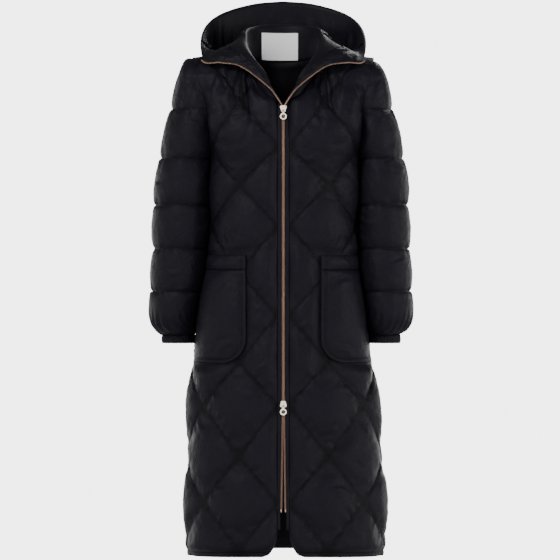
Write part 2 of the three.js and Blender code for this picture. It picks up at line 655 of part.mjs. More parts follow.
// The label lies on the neck facing
const LABEL_OFF = 1.6;
{
  const rows = span(LABEL.bottom, LABEL.top, 22).map((z) =>
    span(LABEL.middle - LABEL.width / 2, LABEL.middle + LABEL.width / 2, 22).map((x) => {
      let [turn, along] = [0, 1];
      for (let k = 0; k < 20; k += 1) {
        const p = hoodPoint(turn, along);
        turn += (x - p.x) / 320;
        along = clamp(along + (z - p.z) / 50, 0.05, CREST - 0.05);
      }
      return hoodPoint(turn, along).addScaledVector(hoodOut(turn, along), -LIE - THIN - LABEL_OFF);
    }),
  );
  addMesh("label", wallOver(rows, { lift: () => 0.8, hint: V(0, 1, 0) }), PAPER);
}

// Patch pockets: made from the front's points, moved out over the flattened quilting
function pocketPiece(name, side, low, high, lofted) {
  const across = 7;
  const length = (z) => quarterLength(side, -1, z) - 2;
  const rows = span(low, high, 24).map((z) => {
    const corner = clamp((POCKET.bottom + POCKET.corner - z) / POCKET.corner, 0, 1);
    const from = POCKET.edge + POCKET.corner * (1 - Math.sqrt(1 - Math.pow(corner, 2) * 0.98));
    return span(0, across, 1).map((k) => ({ s: mix(from, length(z), k / across), z }));
  });
  const grid = rows.map((row) =>
    row.map(({ s, z }) => {
      const p = bodyPoint(side, -1, s, z);
      const step = bodyPoint(side, -1, s - 1, z).sub(bodyPoint(side, -1, s + 1, z));
      const out = V(step.y, -step.x, 0).normalize();
      if (out.y > 0) out.negate();
      return p.addScaledVector(out, mix(POCKET.rest, POCKET.side, clamp((s - length(z) + 60) / 50, 0, 1)));
    }),
  );
  const last = rows.length - 1;
  const lift = (j, i) => {
    const rim = j === 0 || j === last || i === 0 || i === across;
    if (rim) return WALL;
    const { s, z } = rows[j][i];
    const dome = Math.sin(Math.PI * (i / across)) * Math.sin((Math.PI * j) / last);
    return WALL + lofted * Math.pow(dome, 0.5) * clamp((length(z) - s - 20) / 70, 0, 1);
  };
  addMesh(name, wallOver(grid, { lift, hint: V(side * 0.5, -1, 0) }), SHELL);
}
for (const [name, side] of Object.entries(fronts)) {
  const seam = POCKET.top - POCKET.band;
  pocketPiece(`pocket_${name}`, side, POCKET.bottom, seam - SEAM, POCKET.loft);
  pocketPiece(`pocket_band_${name}`, side, seam, POCKET.top, 7);
}

// The zip: its chain on each side, from the bottom stop to the slider and out along the collar
const frontY = (z) => -(read(BODY, "z", z, "front") - LOFT);
function neckY(z) {
  const t = clamp((z - UNDERARM) / (-NECK.frontDrop - UNDERARM), 0, 1);
  return z < UNDERARM ? frontY(z) : mix(frontY(UNDERARM), -NECK.front, Math.pow(t, 1.7));
}
const slit = (z) => ZIP.slit * clamp((ZIP.lower - z) / (ZIP.lower - ZIP.bottom), 0, 1);
for (const [name, side] of Object.entries(fronts)) {
  const stations = span(ZIP.bottom, ZIP.upper, 77).map((z) => ({
    p: V(side * (SEAM / 2 + slit(z)), neckY(z) - ZIP.under, z),
    across: V(side, 0, 0),
    out: V(0, -1, 0),
  }));
  for (const turn of span(1, 1 - 7 * HOOD_STEP, HOOD_STEP)) {
    const edge = hoodPoint(side * turn, EDGE);
    const back = hoodPoint(side * turn, EDGE - 0.1).sub(edge).normalize();
    const out = hoodOut(side * turn, EDGE);
    const p = edge.clone().addScaledVector(back, -ZIP.half - 4.6 * SEAM).addScaledVector(out, -1);
    stations.push({ p, across: back, out });
  }
  const grid = stations.map(({ p, across }) => [p, p.clone().addScaledVector(across, ZIP.half)]);
  const aim = (j) => stations[j].out;
  addMesh(`zip_teeth_${name}`, wallOver(grid, { lift: () => ZIP.high, aim, hint: V(0, -1, 0) }), COPPER);
  const strip = span(PLACKET.bottom, PLACKET.top, 81).map((z) =>
    [ZIP.half + 2 * SEAM + slit(z), PANEL_EDGE - SEAM].map((x) => V(side * x, neckY(z), z)),
  );
  const forward = () => V(0, -1, 0);
  addMesh(
    `placket_${name}`,
    wallOver(strip, { lift: () => PLACKET.high, aim: forward, hint: V(0, -1, 0) }),
    SHELL,
  );
  const stop = new THREE.BoxGeometry(3, 4, 7);
  stop.translate(side * (2 + ZIP.slit), neckY(ZIP.bottom) - 3.2, ZIP.bottom - 4);
  addMesh(`zip_stop_${name}`, stop, COPPER);
}

// Sliders and their ring pulls, each pull on a pin across two ears
function plate(width, foot, long, thick) {
  const shape = new THREE.Shape();
  shape.moveTo(-width / 2, -long * 0.3);
  shape.quadraticCurveTo(-width / 2, 0, -width / 4, 0);
  shape.lineTo(width / 4, 0);
  shape.quadraticCurveTo(width / 2, 0, width / 2, -long * 0.3);
  shape.lineTo(foot / 2, -long);
  shape.lineTo(-foot / 2, -long);
  shape.closePath();
  const body = new THREE.ExtrudeGeometry(shape, {
    depth: thick,
    bevelSize: 0.4,
    bevelThickness: 0.4,
    bevelSegments: 1,
    curveSegments: 4,
  });
  return body.rotateX(Math.PI / 2);
}
function barX(radius, length) {
  return new THREE.CylinderGeometry(radius, radius, length, 12).rotateZ(Math.PI / 2);
}
function sliderAt(name, top, turned) {
  const y = Math.min(neckY(top), neckY(top - SLIDER.long)) - ZIP.under - ZIP.high - SLIDER.clear;
  const body = plate(SLIDER.wide, SLIDER.narrow, SLIDER.long, SLIDER.thick - 0.8);
  if (turned) body.rotateY(Math.PI).translate(0, 0, -SLIDER.long);
  const pinAt = V(0, -SLIDER.thick - 2, -SLIDER.long + 2);
  const ears = [-1, 1].map((k) =>
    new THREE.BoxGeometry(1.4, 4.4, 4).translate(k * 3.2, -SLIDER.thick - 1, pinAt.z + 0.6),
  );
  const pin = barX(PULL.pin, 7.2).translate(pinAt.x, pinAt.y, pinAt.z);
  const slider = fuse(body, ...ears, pin).translate(0, y, top);
  addMesh(`slider_${name}`, slider, CHAMPAGNE);
  const eyeShape = new THREE.Shape().absarc(0, 0, PULL.eye, 0, 2 * Math.PI);
  eyeShape.holes.push(new THREE.Path().absarc(0, 0, PULL.pin + SEAM, 0, 2 * Math.PI));
  const eye = new THREE.ExtrudeGeometry(eyeShape, { depth: 4.2, bevelEnabled: false, curveSegments: 6 });
  eye.rotateY(Math.PI / 2).translate(-2.1, 0, 0);
  const link = new THREE.BoxGeometry(4, PULL.thick, 6).translate(0, 0, -PULL.eye - 2.6);
  const ringShape = new THREE.Shape().absarc(0, 0, PULL.ring, 0, 2 * Math.PI);
  ringShape.holes.push(new THREE.Path().absarc(0, 0, PULL.hole, 0, 2 * Math.PI));
  const ring = new THREE.ExtrudeGeometry(ringShape, {
    depth: PULL.thick,
    bevelEnabled: false,
    curveSegments: 8,
  });
  ring.rotateX(Math.PI / 2).translate(0, PULL.thick / 2, -PULL.drop);
  const pull = fuse(eye, link, ring).translate(pinAt.x, pinAt.y + y, pinAt.z + top);
  addMesh(`pull_${name}`, pull, CHAMPAGNE);
}
sliderAt("upper", SLIDER.upper, false);
sliderAt("lower", SLIDER.lower + SLIDER.long, true);

// The hood cord's free ends hang out of eyelets on the collar's under side
const CORD_ROUTES = {
  left: [
    [-92.8, -88.2, -21.2], [-91.7, -83, -24], [-92.5, -81, -32], [-96, -92, -46],
    [-97.5, -104, -58], [-94, -124, -88], [-91.5, -146, -131],
  ],
  right: [
    [92.8, -88.2, -21.2], [91.7, -83, -24], [92.5, -81, -32], [96, -92, -46],
    [98, -104, -58], [100.5, -124, -88], [103, -146, -131],
  ],
};
for (const [name, side] of Object.entries(fronts)) {
  const route = new THREE.CatmullRomCurve3(CORD_ROUTES[name].map((p) => V(...p)));
  const circle = new THREE.Shape();
  for (let k = 0; k < CORD.sides; k += 1) {
    const angle = (2 * Math.PI * k) / CORD.sides;
    const [x, y] = [CORD.radius * Math.cos(angle), CORD.radius * Math.sin(angle)];
    if (k) circle.lineTo(x, y);
    else circle.moveTo(x, y);
  }
  circle.closePath();
  const options = { steps: CORD.steps, extrudePath: route, bevelEnabled: false };
  addMesh(`drawcord_${name}`, new THREE.ExtrudeGeometry(circle, options), CORD_BLACK);
  const ring = new THREE.Shape().absarc(0, 0, EYELET.radius, 0, 2 * Math.PI);
  ring.holes.push(new THREE.Path().absarc(0, 0, EYELET.hole, 0, 2 * Math.PI));
  const eyelet = new THREE.ExtrudeGeometry(ring, {
    depth: EYELET.thick,
    bevelEnabled: false,
    curveSegments: 5,
  });
  const out = hoodOut(side * EYELET.turn, EYELET.along);
  const at = hoodPoint(side * EYELET.turn, EYELET.along).addScaledVector(out, HOOD_WALL + EYELET.off);
  eyelet.applyQuaternion(new THREE.Quaternion().setFromUnitVectors(V(0, 0, 1), out));
  eyelet.translate(at.x, at.y, at.z);
  addMesh(`eyelet_${name}`, eyelet, CHAMPAGNE);
}

export default coat;
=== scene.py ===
import math

import bpy
import numpy as np
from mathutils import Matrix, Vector
from mathutils.kdtree import KDTree


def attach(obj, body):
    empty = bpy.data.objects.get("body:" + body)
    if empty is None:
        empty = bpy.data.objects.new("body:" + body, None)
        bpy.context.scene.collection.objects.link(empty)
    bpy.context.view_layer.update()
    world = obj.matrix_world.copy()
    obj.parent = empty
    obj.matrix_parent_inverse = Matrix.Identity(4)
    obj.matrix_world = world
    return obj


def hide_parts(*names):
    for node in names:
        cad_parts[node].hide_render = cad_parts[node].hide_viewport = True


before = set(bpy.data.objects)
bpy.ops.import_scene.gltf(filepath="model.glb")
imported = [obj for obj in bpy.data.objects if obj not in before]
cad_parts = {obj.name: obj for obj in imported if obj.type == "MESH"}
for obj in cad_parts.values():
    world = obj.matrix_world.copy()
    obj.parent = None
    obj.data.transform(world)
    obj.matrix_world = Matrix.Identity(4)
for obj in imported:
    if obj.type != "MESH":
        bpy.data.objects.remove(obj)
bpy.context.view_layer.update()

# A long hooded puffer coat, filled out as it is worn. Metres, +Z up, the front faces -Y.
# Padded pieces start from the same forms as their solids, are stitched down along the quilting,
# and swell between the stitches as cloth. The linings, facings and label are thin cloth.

SEED = 7

# Sizes shared with the solids
WALL = 0.003
LOFT = 0.012
SEAM = 0.0003
ARMHOLE_SEAM = 0.00025
HEM = -1.152
HEM_STITCH = -1.144
UNDERARM = -0.219
PANEL_EDGE = 0.0135
DIAMOND = 0.087
DIAMOND_LOFT = 0.0130
CHANNEL_LOFT = 0.0085
ARMHOLE_TOP = -0.016
ARMHOLE_DEPTH = 0.070
ARMHOLE_MIDDLE, ARMHOLE_HALF = (ARMHOLE_TOP + UNDERARM) / 2, (ARMHOLE_TOP - UNDERARM) / 2
SAG_FROM, SAG_OVER, SAG, SAG_AT_SIDES = -1.085, 0.067, 0.009, 0.005
NECK_SIDE, NECK_BACK, NECK_BACK_DROP = 0.080, 0.078, 0.012
NECK_FRONT, NECK_FRONT_DROP = 0.112, 0.105
SHOULDER_X = 0.212
POCKET_EDGE, POCKET_TOP, POCKET_BOTTOM = 0.084, -0.467, -0.716
POCKET_BAND, POCKET_CORNER, POCKET_LOFT, POCKET_BAND_LOFT = 0.034, 0.055, 0.017, 0.007
POCKET_REST, POCKET_SIDE_REST = 0.0062, 0.0039
LABEL_MIDDLE, LABEL_WIDTH, LABEL_BOTTOM, LABEL_TOP = -0.008, 0.088, -0.008, 0.057
SIDES = {"left": -1, "right": 1}

# Heights where the diamonds' stitch lines cross
CROSSINGS = np.array([
    HEM_STITCH, -1.037, -0.931, -0.814, -0.713, -0.607, -0.508, -0.400, -0.306, UNDERARM, -0.111,
    -0.008,
])

# The body's section: height, half width, lean to the right, depth in front, depth behind
HALF, LEAN, FRONT, BACK = range(1, 5)
BODY = np.array([
    (HEM, 0.230, 0.005, 0.158, 0.166),
    (-1.037, 0.230, 0.005, 0.159, 0.165),
    (-0.931, 0.224, 0.003, 0.157, 0.162),
    (-0.814, 0.219, 0.000, 0.153, 0.158),
    (-0.713, 0.208, -0.002, 0.149, 0.154),
    (-0.607, 0.195, -0.004, 0.145, 0.149),
    (-0.508, 0.181, -0.002, 0.142, 0.142),
    (-0.400, 0.174, 0.001, 0.140, 0.137),
    (-0.306, 0.173, 0.002, 0.140, 0.139),
    (UNDERARM, 0.178, 0.005, 0.140, 0.142),
])
SECTION_POWER = 2 / 2.35

# The armhole seam: height, distance from the middle
ARMHOLE_LINE = np.array([
    (UNDERARM, 0.166), (-0.160, 0.176), (-0.110, 0.183), (-0.070, 0.195), (-0.035, 0.207),
    (ARMHOLE_TOP, SHOULDER_X),
])
YOKE_HEIGHTS = np.array([UNDERARM, -0.185, -0.156, -0.127, -0.092, -0.062, -0.036, ARMHOLE_TOP])

# The sleeves: height, far silhouette, half depth
FAR, DEPTH = 1, 2
SLEEVE = np.array([
    (-0.651, 0.286, 0.041), (-0.639, 0.294, 0.054), (-0.616, 0.304, 0.068), (-0.570, 0.306, 0.074),
    (-0.455, 0.301, 0.077), (-0.350, 0.298, 0.079), (-0.290, 0.291, 0.080), (-0.242, 0.284, 0.080),
    (UNDERARM, 0.279, 0.080), (-0.156, 0.265, 0.080), (-0.110, 0.254, 0.080), (-0.064, 0.243, 0.080),
    (-0.036, 0.235, 0.080), (ARMHOLE_TOP, 0.227, 0.080),
])
CHANNELS = np.array([-0.651, -0.550, -0.451, -0.350, -0.242, -0.127, ARMHOLE_TOP])
SLEEVE_LEAN = {"left": 0.005, "right": -0.005}
NEAR_BODY = 0.005
CUFF_HEIGHT, CUFF_WALL, CUFF_FOLD = 0.020, 0.0024, 0.0022

# The hood by station round the neck, from the centre back to the zip: how far it rolls out and up,
# its free edge's place, and how far the bag hangs and stands back
OUT, UP, EDGE_X, EDGE_Y, EDGE_Z, DROP, BAG = range(1, 8)
HOOD = np.array([
    (0.00, 0.015, 0.082, 0.000, 0.158, 0.138, 0.245, 0.058),
    (0.15, 0.015, 0.080, 0.070, 0.151, 0.131, 0.222, 0.054),
    (0.30, 0.014, 0.072, 0.143, 0.120, 0.107, 0.160, 0.042),
    (0.42, 0.012, 0.062, 0.181, 0.074, 0.073, 0.085, 0.024),
    (0.51, 0.011, 0.050, 0.192, 0.006, 0.026, 0.030, 0.008),
    (0.57, 0.012, 0.048, 0.184, -0.052, -0.014, 0.006, 0.000),
    (0.66, 0.013, 0.050, 0.144, -0.080, -0.018, 0.000, 0.000),
    (0.76, 0.011, 0.053, 0.100, -0.094, -0.026, 0.000, 0.000),
    (0.87, 0.008, 0.048, 0.058, -0.118, -0.054, 0.000, 0.000),
    (0.95, 0.005, 0.018, 0.027, -0.130, -0.084, 0.000, 0.000),
    (1.00, 0.001, 0.004, 0.007, -0.127, -0.112, 0.000, 0.000),
])
HOOD_WALL, HOOD_LOFT = 0.004, 0.009
GUSSET, SIDE_TURN, TURN_STEP = 0.125, 0.5, 0.0625
HOOD_FLAT = (0.45, 0.06)  # metres of cloth to one turn and to one step along
CREST, FACING_FROM, EDGE = 2.0, 3.5, 5.0
LIE, THIN = 0.0006, 0.0011

ZIP_HALF, ZIP_BOTTOM, ZIP_LOWER, ZIP_UPPER = 0.0034, -1.050, -0.816, -0.121
ZIP_SLIT, ZIP_UNDER, ZIP_HIGH = 0.003, 0.0015, 0.0035
PLACKET_BOTTOM, PLACKET_TOP = -1.098, -0.124
CORD_DIAMETER = 0.004
CORD_ROUTES = {
    "left": [
        (-0.0928, -0.0882, -0.0212), (-0.0917, -0.083, -0.024), (-0.0925, -0.081, -0.032),
        (-0.096, -0.092, -0.046), (-0.0975, -0.104, -0.058), (-0.094, -0.124, -0.088),
        (-0.0915, -0.146, -0.131),
    ],
    "right": [
        (0.0928, -0.0882, -0.0212), (0.0917, -0.083, -0.024), (0.0925, -0.081, -0.032),
        (0.096, -0.092, -0.046), (0.098, -0.104, -0.058), (0.1005, -0.124, -0.088),
        (0.103, -0.146, -0.131),
    ],
}

# Flat size of the zip tape as cut
ZIP_TAPE_CUT = (0.0104, 1.13)

# Folds set on each piece's flat cloth: from across and up, to across and up, width, height,
# in tenths of a millimetre
FOLDS = {
    "front_left": [
        (1410, -460, 1300, -980, 46, 62), (1240, -600, 1220, -1000, 40, 56),
        (1080, -680, 1070, -1160, 42, 62), (900, -700, 900, -1040, 40, 44),
        (730, -780, 740, -1080, 38, 48), (1580, -500, 1560, -800, 45, 40),
        (1080, -3720, 1050, -4660, 50, 42), (920, -3850, 910, -4580, 45, 26),
        (1230, -3900, 1210, -4620, 45, 32), (600, -1300, 720, -2150, 60, 26),
        (300, -5600, 660, -6000, 50, 30), (240, -7000, 600, -7350, 50, 30),
        (600, -7950, 1100, -7820, 55, 34), (1200, -8500, 1750, -8680, 60, 34),
        (400, -9600, 850, -9850, 55, 30), (1050, -10200, 1650, -10050, 60, 36),
        (350, -10850, 900, -11050, 50, 34), (1100, -11000, 1600, -11180, 50, 30),
    ],
    "front_right": [
        (700, -620, 700, -960, 42, 58), (830, -700, 820, -1000, 36, 46),
        (940, -660, 930, -1180, 42, 64), (1120, -600, 1100, -960, 40, 50),
        (1280, -550, 1270, -840, 40, 42), (1480, -440, 1460, -760, 44, 58),
        (1660, -600, 1720, -920, 40, 40), (1600, -980, 1760, -1200, 40, 42),
        (750, -8720, 1280, -8660, 48, 46), (820, -8880, 1200, -8920, 45, 36),
        (960, -10040, 1520, -10120, 52, 46), (1040, -10220, 1420, -10170, 45, 34),
        (260, -10700, 600, -11120, 50, 36), (500, -11100, 920, -11280, 45, 34),
        (980, -11280, 1280, -10980, 45, 30), (300, -4200, 700, -4460, 50, 28),
        (1000, -3800, 980, -4600, 45, 34), (1160, -3950, 1150, -4620, 45, 26),
        (300, -6400, 640, -6120, 48, 34), (1200, -7700, 1780, -7900, 60, 36),
        (400, -2500, 850, -2320, 60, 28), (1500, -9300, 2000, -9500, 55, 36),
    ],
    "back": [
        (-700, -4000, -660, -4800, 55, 36), (300, -3900, 340, -4700, 50, 32),
        (850, -3800, 900, -4550, 55, 36), (-1200, -5600, -600, -5800, 60, 36),
        (400, -6000, 1100, -5850, 60, 34), (-1000, -8700, -450, -8620, 55, 42),
        (600, -9050, 1200, -9150, 55, 40), (-1500, -10100, -950, -10220, 55, 40),
        (200, -10600, 700, -10850, 50, 36), (1200, -10900, 1700, -10700, 50, 36),
        (-600, -1400, -1100, -1650, 60, 30), (500, -1500, 1050, -1350, 60, 30),
    ],
    "sleeve_left": [
        (-1900, -3720, -1200, -3620, 55, 40), (-1850, -3980, -1250, -4040, 50, 36),
        (-1300, -1500, -700, -1650, 55, 30), (-600, -3000, -50, -3120, 55, 30),
        (1200, -3650, 1850, -3780, 55, 40), (600, -4800, 1200, -4900, 55, 30),
        (-1100, -5000, -550, -5120, 50, 28),
    ],
    "sleeve_right": [
        (-1900, -3580, -1180, -3640, 52, 50), (-1860, -3760, -1050, -3900, 52, 50),
        (-1900, -4020, -1260, -3980, 46, 42), (-1800, -4180, -1160, -4300, 46, 36),
        (-1500, -1380, -850, -1560, 50, 42), (-1450, -1600, -1000, -1780, 45, 34),
        (-600, -2620, -100, -2760, 55, 32), (1180, -3720, 1860, -3620, 55, 42),
        (500, -2000, 1100, -2150, 55, 30), (-1000, -4900, -400, -4800, 50, 30),
    ],
    "hood_lining": [
        (-700, 2620, -100, 2580, 50, 75), (-40, 2570, 450, 2630, 48, 80),
        (-1000, 2760, -300, 2810, 50, 60), (-120, 2840, 500, 2770, 46, 64),
        (-750, 2910, -450, 2680, 42, 52), (-300, 2660, -180, 2920, 40, 50),
        (120, 2660, 160, 2930, 40, 56), (320, 2620, 400, 2900, 40, 50), (600, 2500, 660, 2950, 60, 95),
        (840, 2400, 980, 2900, 62, 90), (1180, 2450, 1120, 2840, 50, 70),
        (1350, 2620, 1700, 2500, 55, 70), (-1180, 2400, -1040, 2900, 62, 75),
        (-1400, 2700, -1650, 2400, 60, 70), (-900, 2250, -600, 2450, 60, 80),
        (500, 2280, 850, 2400, 60, 80), (-1900, 2500, -1500, 2820, 55, 60),
        (1500, 2850, 2000, 2620, 55, 70),
    ],
    "pocket_left": [
        (1050, -5300, 1400, -5600, 60, 26), (1000, -6600, 1500, -6900, 70, 30),
        (1900, -5600, 1960, -6400, 60, 26),
    ],
    "pocket_right": [
        (1100, -5450, 1500, -5250, 60, 26), (1050, -6750, 1650, -7000, 65, 34),
        (1850, -6000, 1900, -6800, 60, 26),
    ],
}

# The surround's tones from straight down, 0, to straight up, 1
WORLD_TONES = [(0.0, 0.35), (0.42, 0.45), (0.462, 4.6), (0.538, 4.6), (0.58, 0.26), (1.0, 0.20)]

# How finely the cloth is modelled, and how it is blown up and sewn
CELLS = 14  # of a diamond's half, and of a sleeve's channel
SWELL_SHARE = 0.4  # how much of the simulated swelling is taken; more rounds the diamonds' corners
LINE_WIDTH = 0.10  # the part of a cushion's rise over which a stitch line deepens
CRINKLE_HEIGHT, BODY_PUCKER, SLEEVE_PUCKER = 0.0009, 0.0044, 0.0046
LINING_CREASE, FACING_CREASE, STILL_CREASE = 0.0034, 0.0026, 0.0006
LINING_THICK, LABEL_THICK, TAPE_THICK, PLACKET_THICK = 0.001, 0.0007, 0.0005, 0.003
BODY_PRESSURE, SLEEVE_PRESSURE, HOOD_PRESSURE, POCKET_PRESSURE = 2.2, 2.0, 1.6, 2.4
RIBBON_CELL = 0.0015
SIM_FRAMES = 16
MOST_SWELL = 0.014  # how far the simulation may move a point
SIM_SETTINGS = {
    "quality": 5, "mass": 0.25, "tension_stiffness": 18, "compression_stiffness": 18,
    "shear_stiffness": 6, "bending_stiffness": 0.12, "air_damping": 2, "use_pressure": True,
}
STITCH_PITCH = 0.0042
STITCH_WIDTH, STITCH_HEIGHT, STITCH_OFF = 0.0007, 0.0006, 0.0004
TOOTH_PITCH, TOOTH_SIZE, TOOTH_MIDDLE = 0.0026, (0.0017, 0.0041, 0.0031), 0.00135


def linked(name, data):
    """A new object in the scene."""
    obj = bpy.data.objects.new(name, data)
    bpy.context.scene.collection.objects.link(obj)
    return obj


def feed(tree, node, given):
    """Sets a node's inputs: a value goes on the socket, another node's output is linked to it."""
    for name, value in given.items():
        if isinstance(value, bpy.types.NodeSocket):
            tree.links.new(value, node.inputs[name])
        else:
            node.inputs[name].default_value = value


def added(tree, kind, given=None, **settings):
    """A new node with its settings and its inputs."""
    node = tree.nodes.new(kind)
    for name, value in settings.items():
        setattr(node, name, value)
    feed(tree, node, given or {})
    return node


def new_material(name):
    """A material with its node tree and its one shader."""
    mat = bpy.data.materials.new(name)
    mat.use_nodes = True
    return mat, mat.node_tree, mat.node_tree.nodes["Principled BSDF"]


# Camera, lights and backdrop
def camera():
    """The photo's view: from the front, at the coat's middle height, far off."""
    data = bpy.data.cameras.new("camera")
    data.sensor_width = 36
    data.lens = 251.6
    data.clip_end = 60
    data.dof.use_dof = False
    obj = linked("camera", data)
    obj.location = (-0.0076, -9.14, -0.524)
    obj.rotation_euler = (math.pi / 2, 0, 0)
    bpy.context.scene.camera = obj


def area_light(name, place, target, size, power):
    """A rectangular lamp in watts that looks at its target."""
    data = bpy.data.lights.new(name, "AREA")
    data.shape = "RECTANGLE"
    data.size, data.size_y = size
    data.energy = power
    obj = linked(name, data)
    obj.location = place
    aim = Vector(target) - Vector(place)
    obj.rotation_euler = aim.to_track_quat("-Z", "Y").to_euler()


def studio():
    """Two soft lights in front, one behind, and a pale surround that is brightest at eye level."""
    area_light("key", (-2.0, -3.0, 2.5), (0, 0, -0.5), (1.0, 1.0), 172)
    area_light("fill", (3.2, -1.6, 0.2), (0, 0, -0.6), (0.8, 2.4), 60)
    area_light("behind", (1.6, 3.0, 2.2), (0, 0, -0.5), (1.4, 1.4), 110)
    world = bpy.data.worlds.new("studio")
    world.use_nodes = True
    tree = world.node_tree
    place = added(tree, "ShaderNodeTexCoord")
    split = added(tree, "ShaderNodeSeparateXYZ", {"Vector": place.outputs["Generated"]})
    height = added(tree, "ShaderNodeMapRange", {"From Min": -1, "Value": split.outputs["Z"]})
    tones = added(tree, "ShaderNodeValToRGB", {"Fac": height.outputs["Result"]})
    while len(tones.color_ramp.elements) < len(WORLD_TONES):
        tones.color_ramp.elements.new(0.5)
    for element, (at, tone) in zip(tones.color_ramp.elements, WORLD_TONES):
        element.position, element.color = at, (tone, tone, tone, 1)
    feed(tree, tree.nodes["Background"], {"Color": tones.outputs["Color"], "Strength": 1.0})
    bpy.context.scene.world = world


def backdrop():
    """A plain pale floor, small enough to stay below the photo's frame."""
    height, reach, corners = -1.32, 1.85, 96
    turns = np.linspace(0, 2 * math.pi, corners + 1)[:-1]
    ring = [(reach * math.cos(a), reach * math.sin(a), height) for a in turns]
    mat, tree, shader = new_material("paper")
    feed(tree, shader, {"Base Color": (0.9, 0.9, 0.9, 1), "Roughness": 0.9})
    obj = new_object("floor", ring, [list(range(corners))], mat)


# Small helpers
def unit(v):
    return v / np.maximum(np.linalg.norm(v, axis=-1, keepdims=True), 1e-12)


def mix(a, b, t):
    return a + (b - a) * t


def smooth(t):
    """From 0 to 1, level at both ends."""
    t = np.clip(t, 0, 1)
    return t * t * (3 - 2 * t)


def read(table, column, at):
    """A smooth curve through a table's column, keyed by its first column."""
    rows = table[np.argsort(table[:, 0])]
    x, y = rows[:, 0], rows[:, column]
    before, after = np.maximum(np.arange(len(x)) - 1, 0), np.minimum(np.arange(len(x)) + 1, len(x) - 1)
    slopes = (y[after] - y[before]) / (x[after] - x[before])
    at = np.clip(np.asarray(at, float), x[0], x[-1])
    k = np.clip(np.searchsorted(x, at) - 1, 0, len(x) - 2)
    span = x[k + 1] - x[k]
    t = (at - x[k]) / span
    m0, m1, rise = slopes[k] * span, slopes[k + 1] * span, y[k + 1] - y[k]
    return y[k] + t * (m0 + t * (3 * rise - 2 * m0 - m1 + t * (m0 + m1 - 2 * rise)))


def run_lengths(points):
    """The length along a path up to each of its points."""
    return np.concatenate([[0], np.cumsum(np.linalg.norm(np.diff(points, axis=0), axis=1))])


def between(at, known, values):
    """Rows of values read at places between the known ones."""
    return np.stack([np.interp(at, known, column) for column in values.T], -1)


def hashed(i, j, k, seed):
    """A number from -1 to 1 for each lattice point, the same in every run."""
    n = (i * 374761393 + j * 668265263 + k * 2147483647 + seed * 144665) & 0xFFFFFFFF
    n = ((n ^ (n >> 13)) * 1274126177) & 0xFFFFFFFF
    return ((n ^ (n >> 16)) & 0xFFFF) / 32767.5 - 1


def noise(points, scale, seed=SEED):
    """Smooth noise from -1 to 1 at points, one lattice step to each scale metres."""
    p = np.asarray(points, float) / np.asarray(scale, float)
    cell = np.floor(p).astype(np.int64)
    f = smooth(p - cell)
    total = np.zeros(len(p))
    for corner in range(8):
        step = np.array([corner & 1, corner >> 1 & 1, corner >> 2 & 1])
        weight = np.prod(np.where(step == 1, f, 1 - f), axis=1)
        total += weight * hashed(*(cell + step).T, seed)
    return total


# The body's form
def quarter(side, face, z):
    """A quarter of the body's section at a height: x, y and the length along it."""
    half = read(BODY, HALF, z) + side * read(BODY, LEAN, z) - LOFT
    depth = read(BODY, FRONT if face < 0 else BACK, z) - LOFT
    angle = np.linspace(0, math.pi / 2, 49)
    x = side * half * np.sin(angle) ** SECTION_POWER
    y = face * depth * np.cos(angle).clip(0) ** SECTION_POWER
    along = np.concatenate([[0], np.cumsum(np.hypot(np.diff(x), np.diff(y)))])
    return x, y, along


def body_length(side, face, z):
    """The cloth's length from the middle to the side seam."""
    return quarter(side, face, z)[2][-1]


def body_points(side, face, s, z):
    """Points on the body at lengths s from the middle."""
    x, y, along = quarter(side, face, z)
    return np.stack([np.interp(s, along, x), np.interp(s, along, y), np.full(len(s), z)], -1)


def hang(points):
    """The lowest part of the skirt sags a little, most at the sides."""
    x, z = points[..., 0], points[..., 2]
    below = (SAG_FROM - z) / SAG_OVER
    part = smooth(below) * np.clip(below, 0, 1)
    sagged = points.copy()
    sagged[..., 2] -= part * (SAG + SAG_AT_SIDES * np.clip(np.abs(x) / BODY[0, HALF], 0, 1) ** 2)
    return sagged


def armhole_angle(z):
    """The angle round the armhole, from 0 at its top to pi at the underarm."""
    return np.arccos(np.clip((z - ARMHOLE_MIDDLE) / ARMHOLE_HALF, -1, 1))


def armhole_points(side, face, angle):
    """Points on the armhole seam at angles from its top."""
    z = ARMHOLE_MIDDLE + ARMHOLE_HALF * np.cos(angle)
    lean = side * read(BODY, LEAN, UNDERARM) * (1 - np.cos(angle)) * 0.5
    x = side * (read(ARMHOLE_LINE, 1, z) + lean)
    return np.stack([x, face * ARMHOLE_DEPTH * np.sin(angle), z], -1)


def neck_points(side, face, part):
    """Points on the neck seam, from the middle, 0, to the shoulder, 1."""
    angle = (math.pi / 2) * np.asarray(part, float)
    if face > 0:
        x, y, z = NECK_SIDE * np.sin(angle), NECK_BACK * np.cos(angle), -NECK_BACK_DROP * np.cos(angle)
    else:
        x = mix(PANEL_EDGE, NECK_SIDE, np.sin(angle))
        y = -NECK_FRONT * np.cos(angle)
        z = -NECK_FRONT_DROP * np.cos(angle).clip(0) ** 1.3
    return np.stack([side * x, y, z], -1)


def cushion(column, row):
    """0 on a stitch line, 1 in the middle of a diamond."""
    def rise(v):
        return np.sin((math.pi / 2) * np.abs(np.mod(v, 2) - 1))
    return np.clip(rise(column + row) * rise(column - row), 0, 1)


def stitch_row(z):
    """The number of the crossing at a height, with parts of a row."""
    return np.interp(z, CROSSINGS, np.arange(len(CROSSINGS)))


# Quilted body panels
FRONT_COLUMNS = np.array([0, 29, 43.5, 58, 72.5, 87, 101.5, 116, 130.5, 145, 174]) / 1000
BACK_COLUMNS = np.array([0, 29, 58, 87, 116, 145, 174]) / 1000
NECK_COLUMNS = 4
YOKE_ROWS = 32


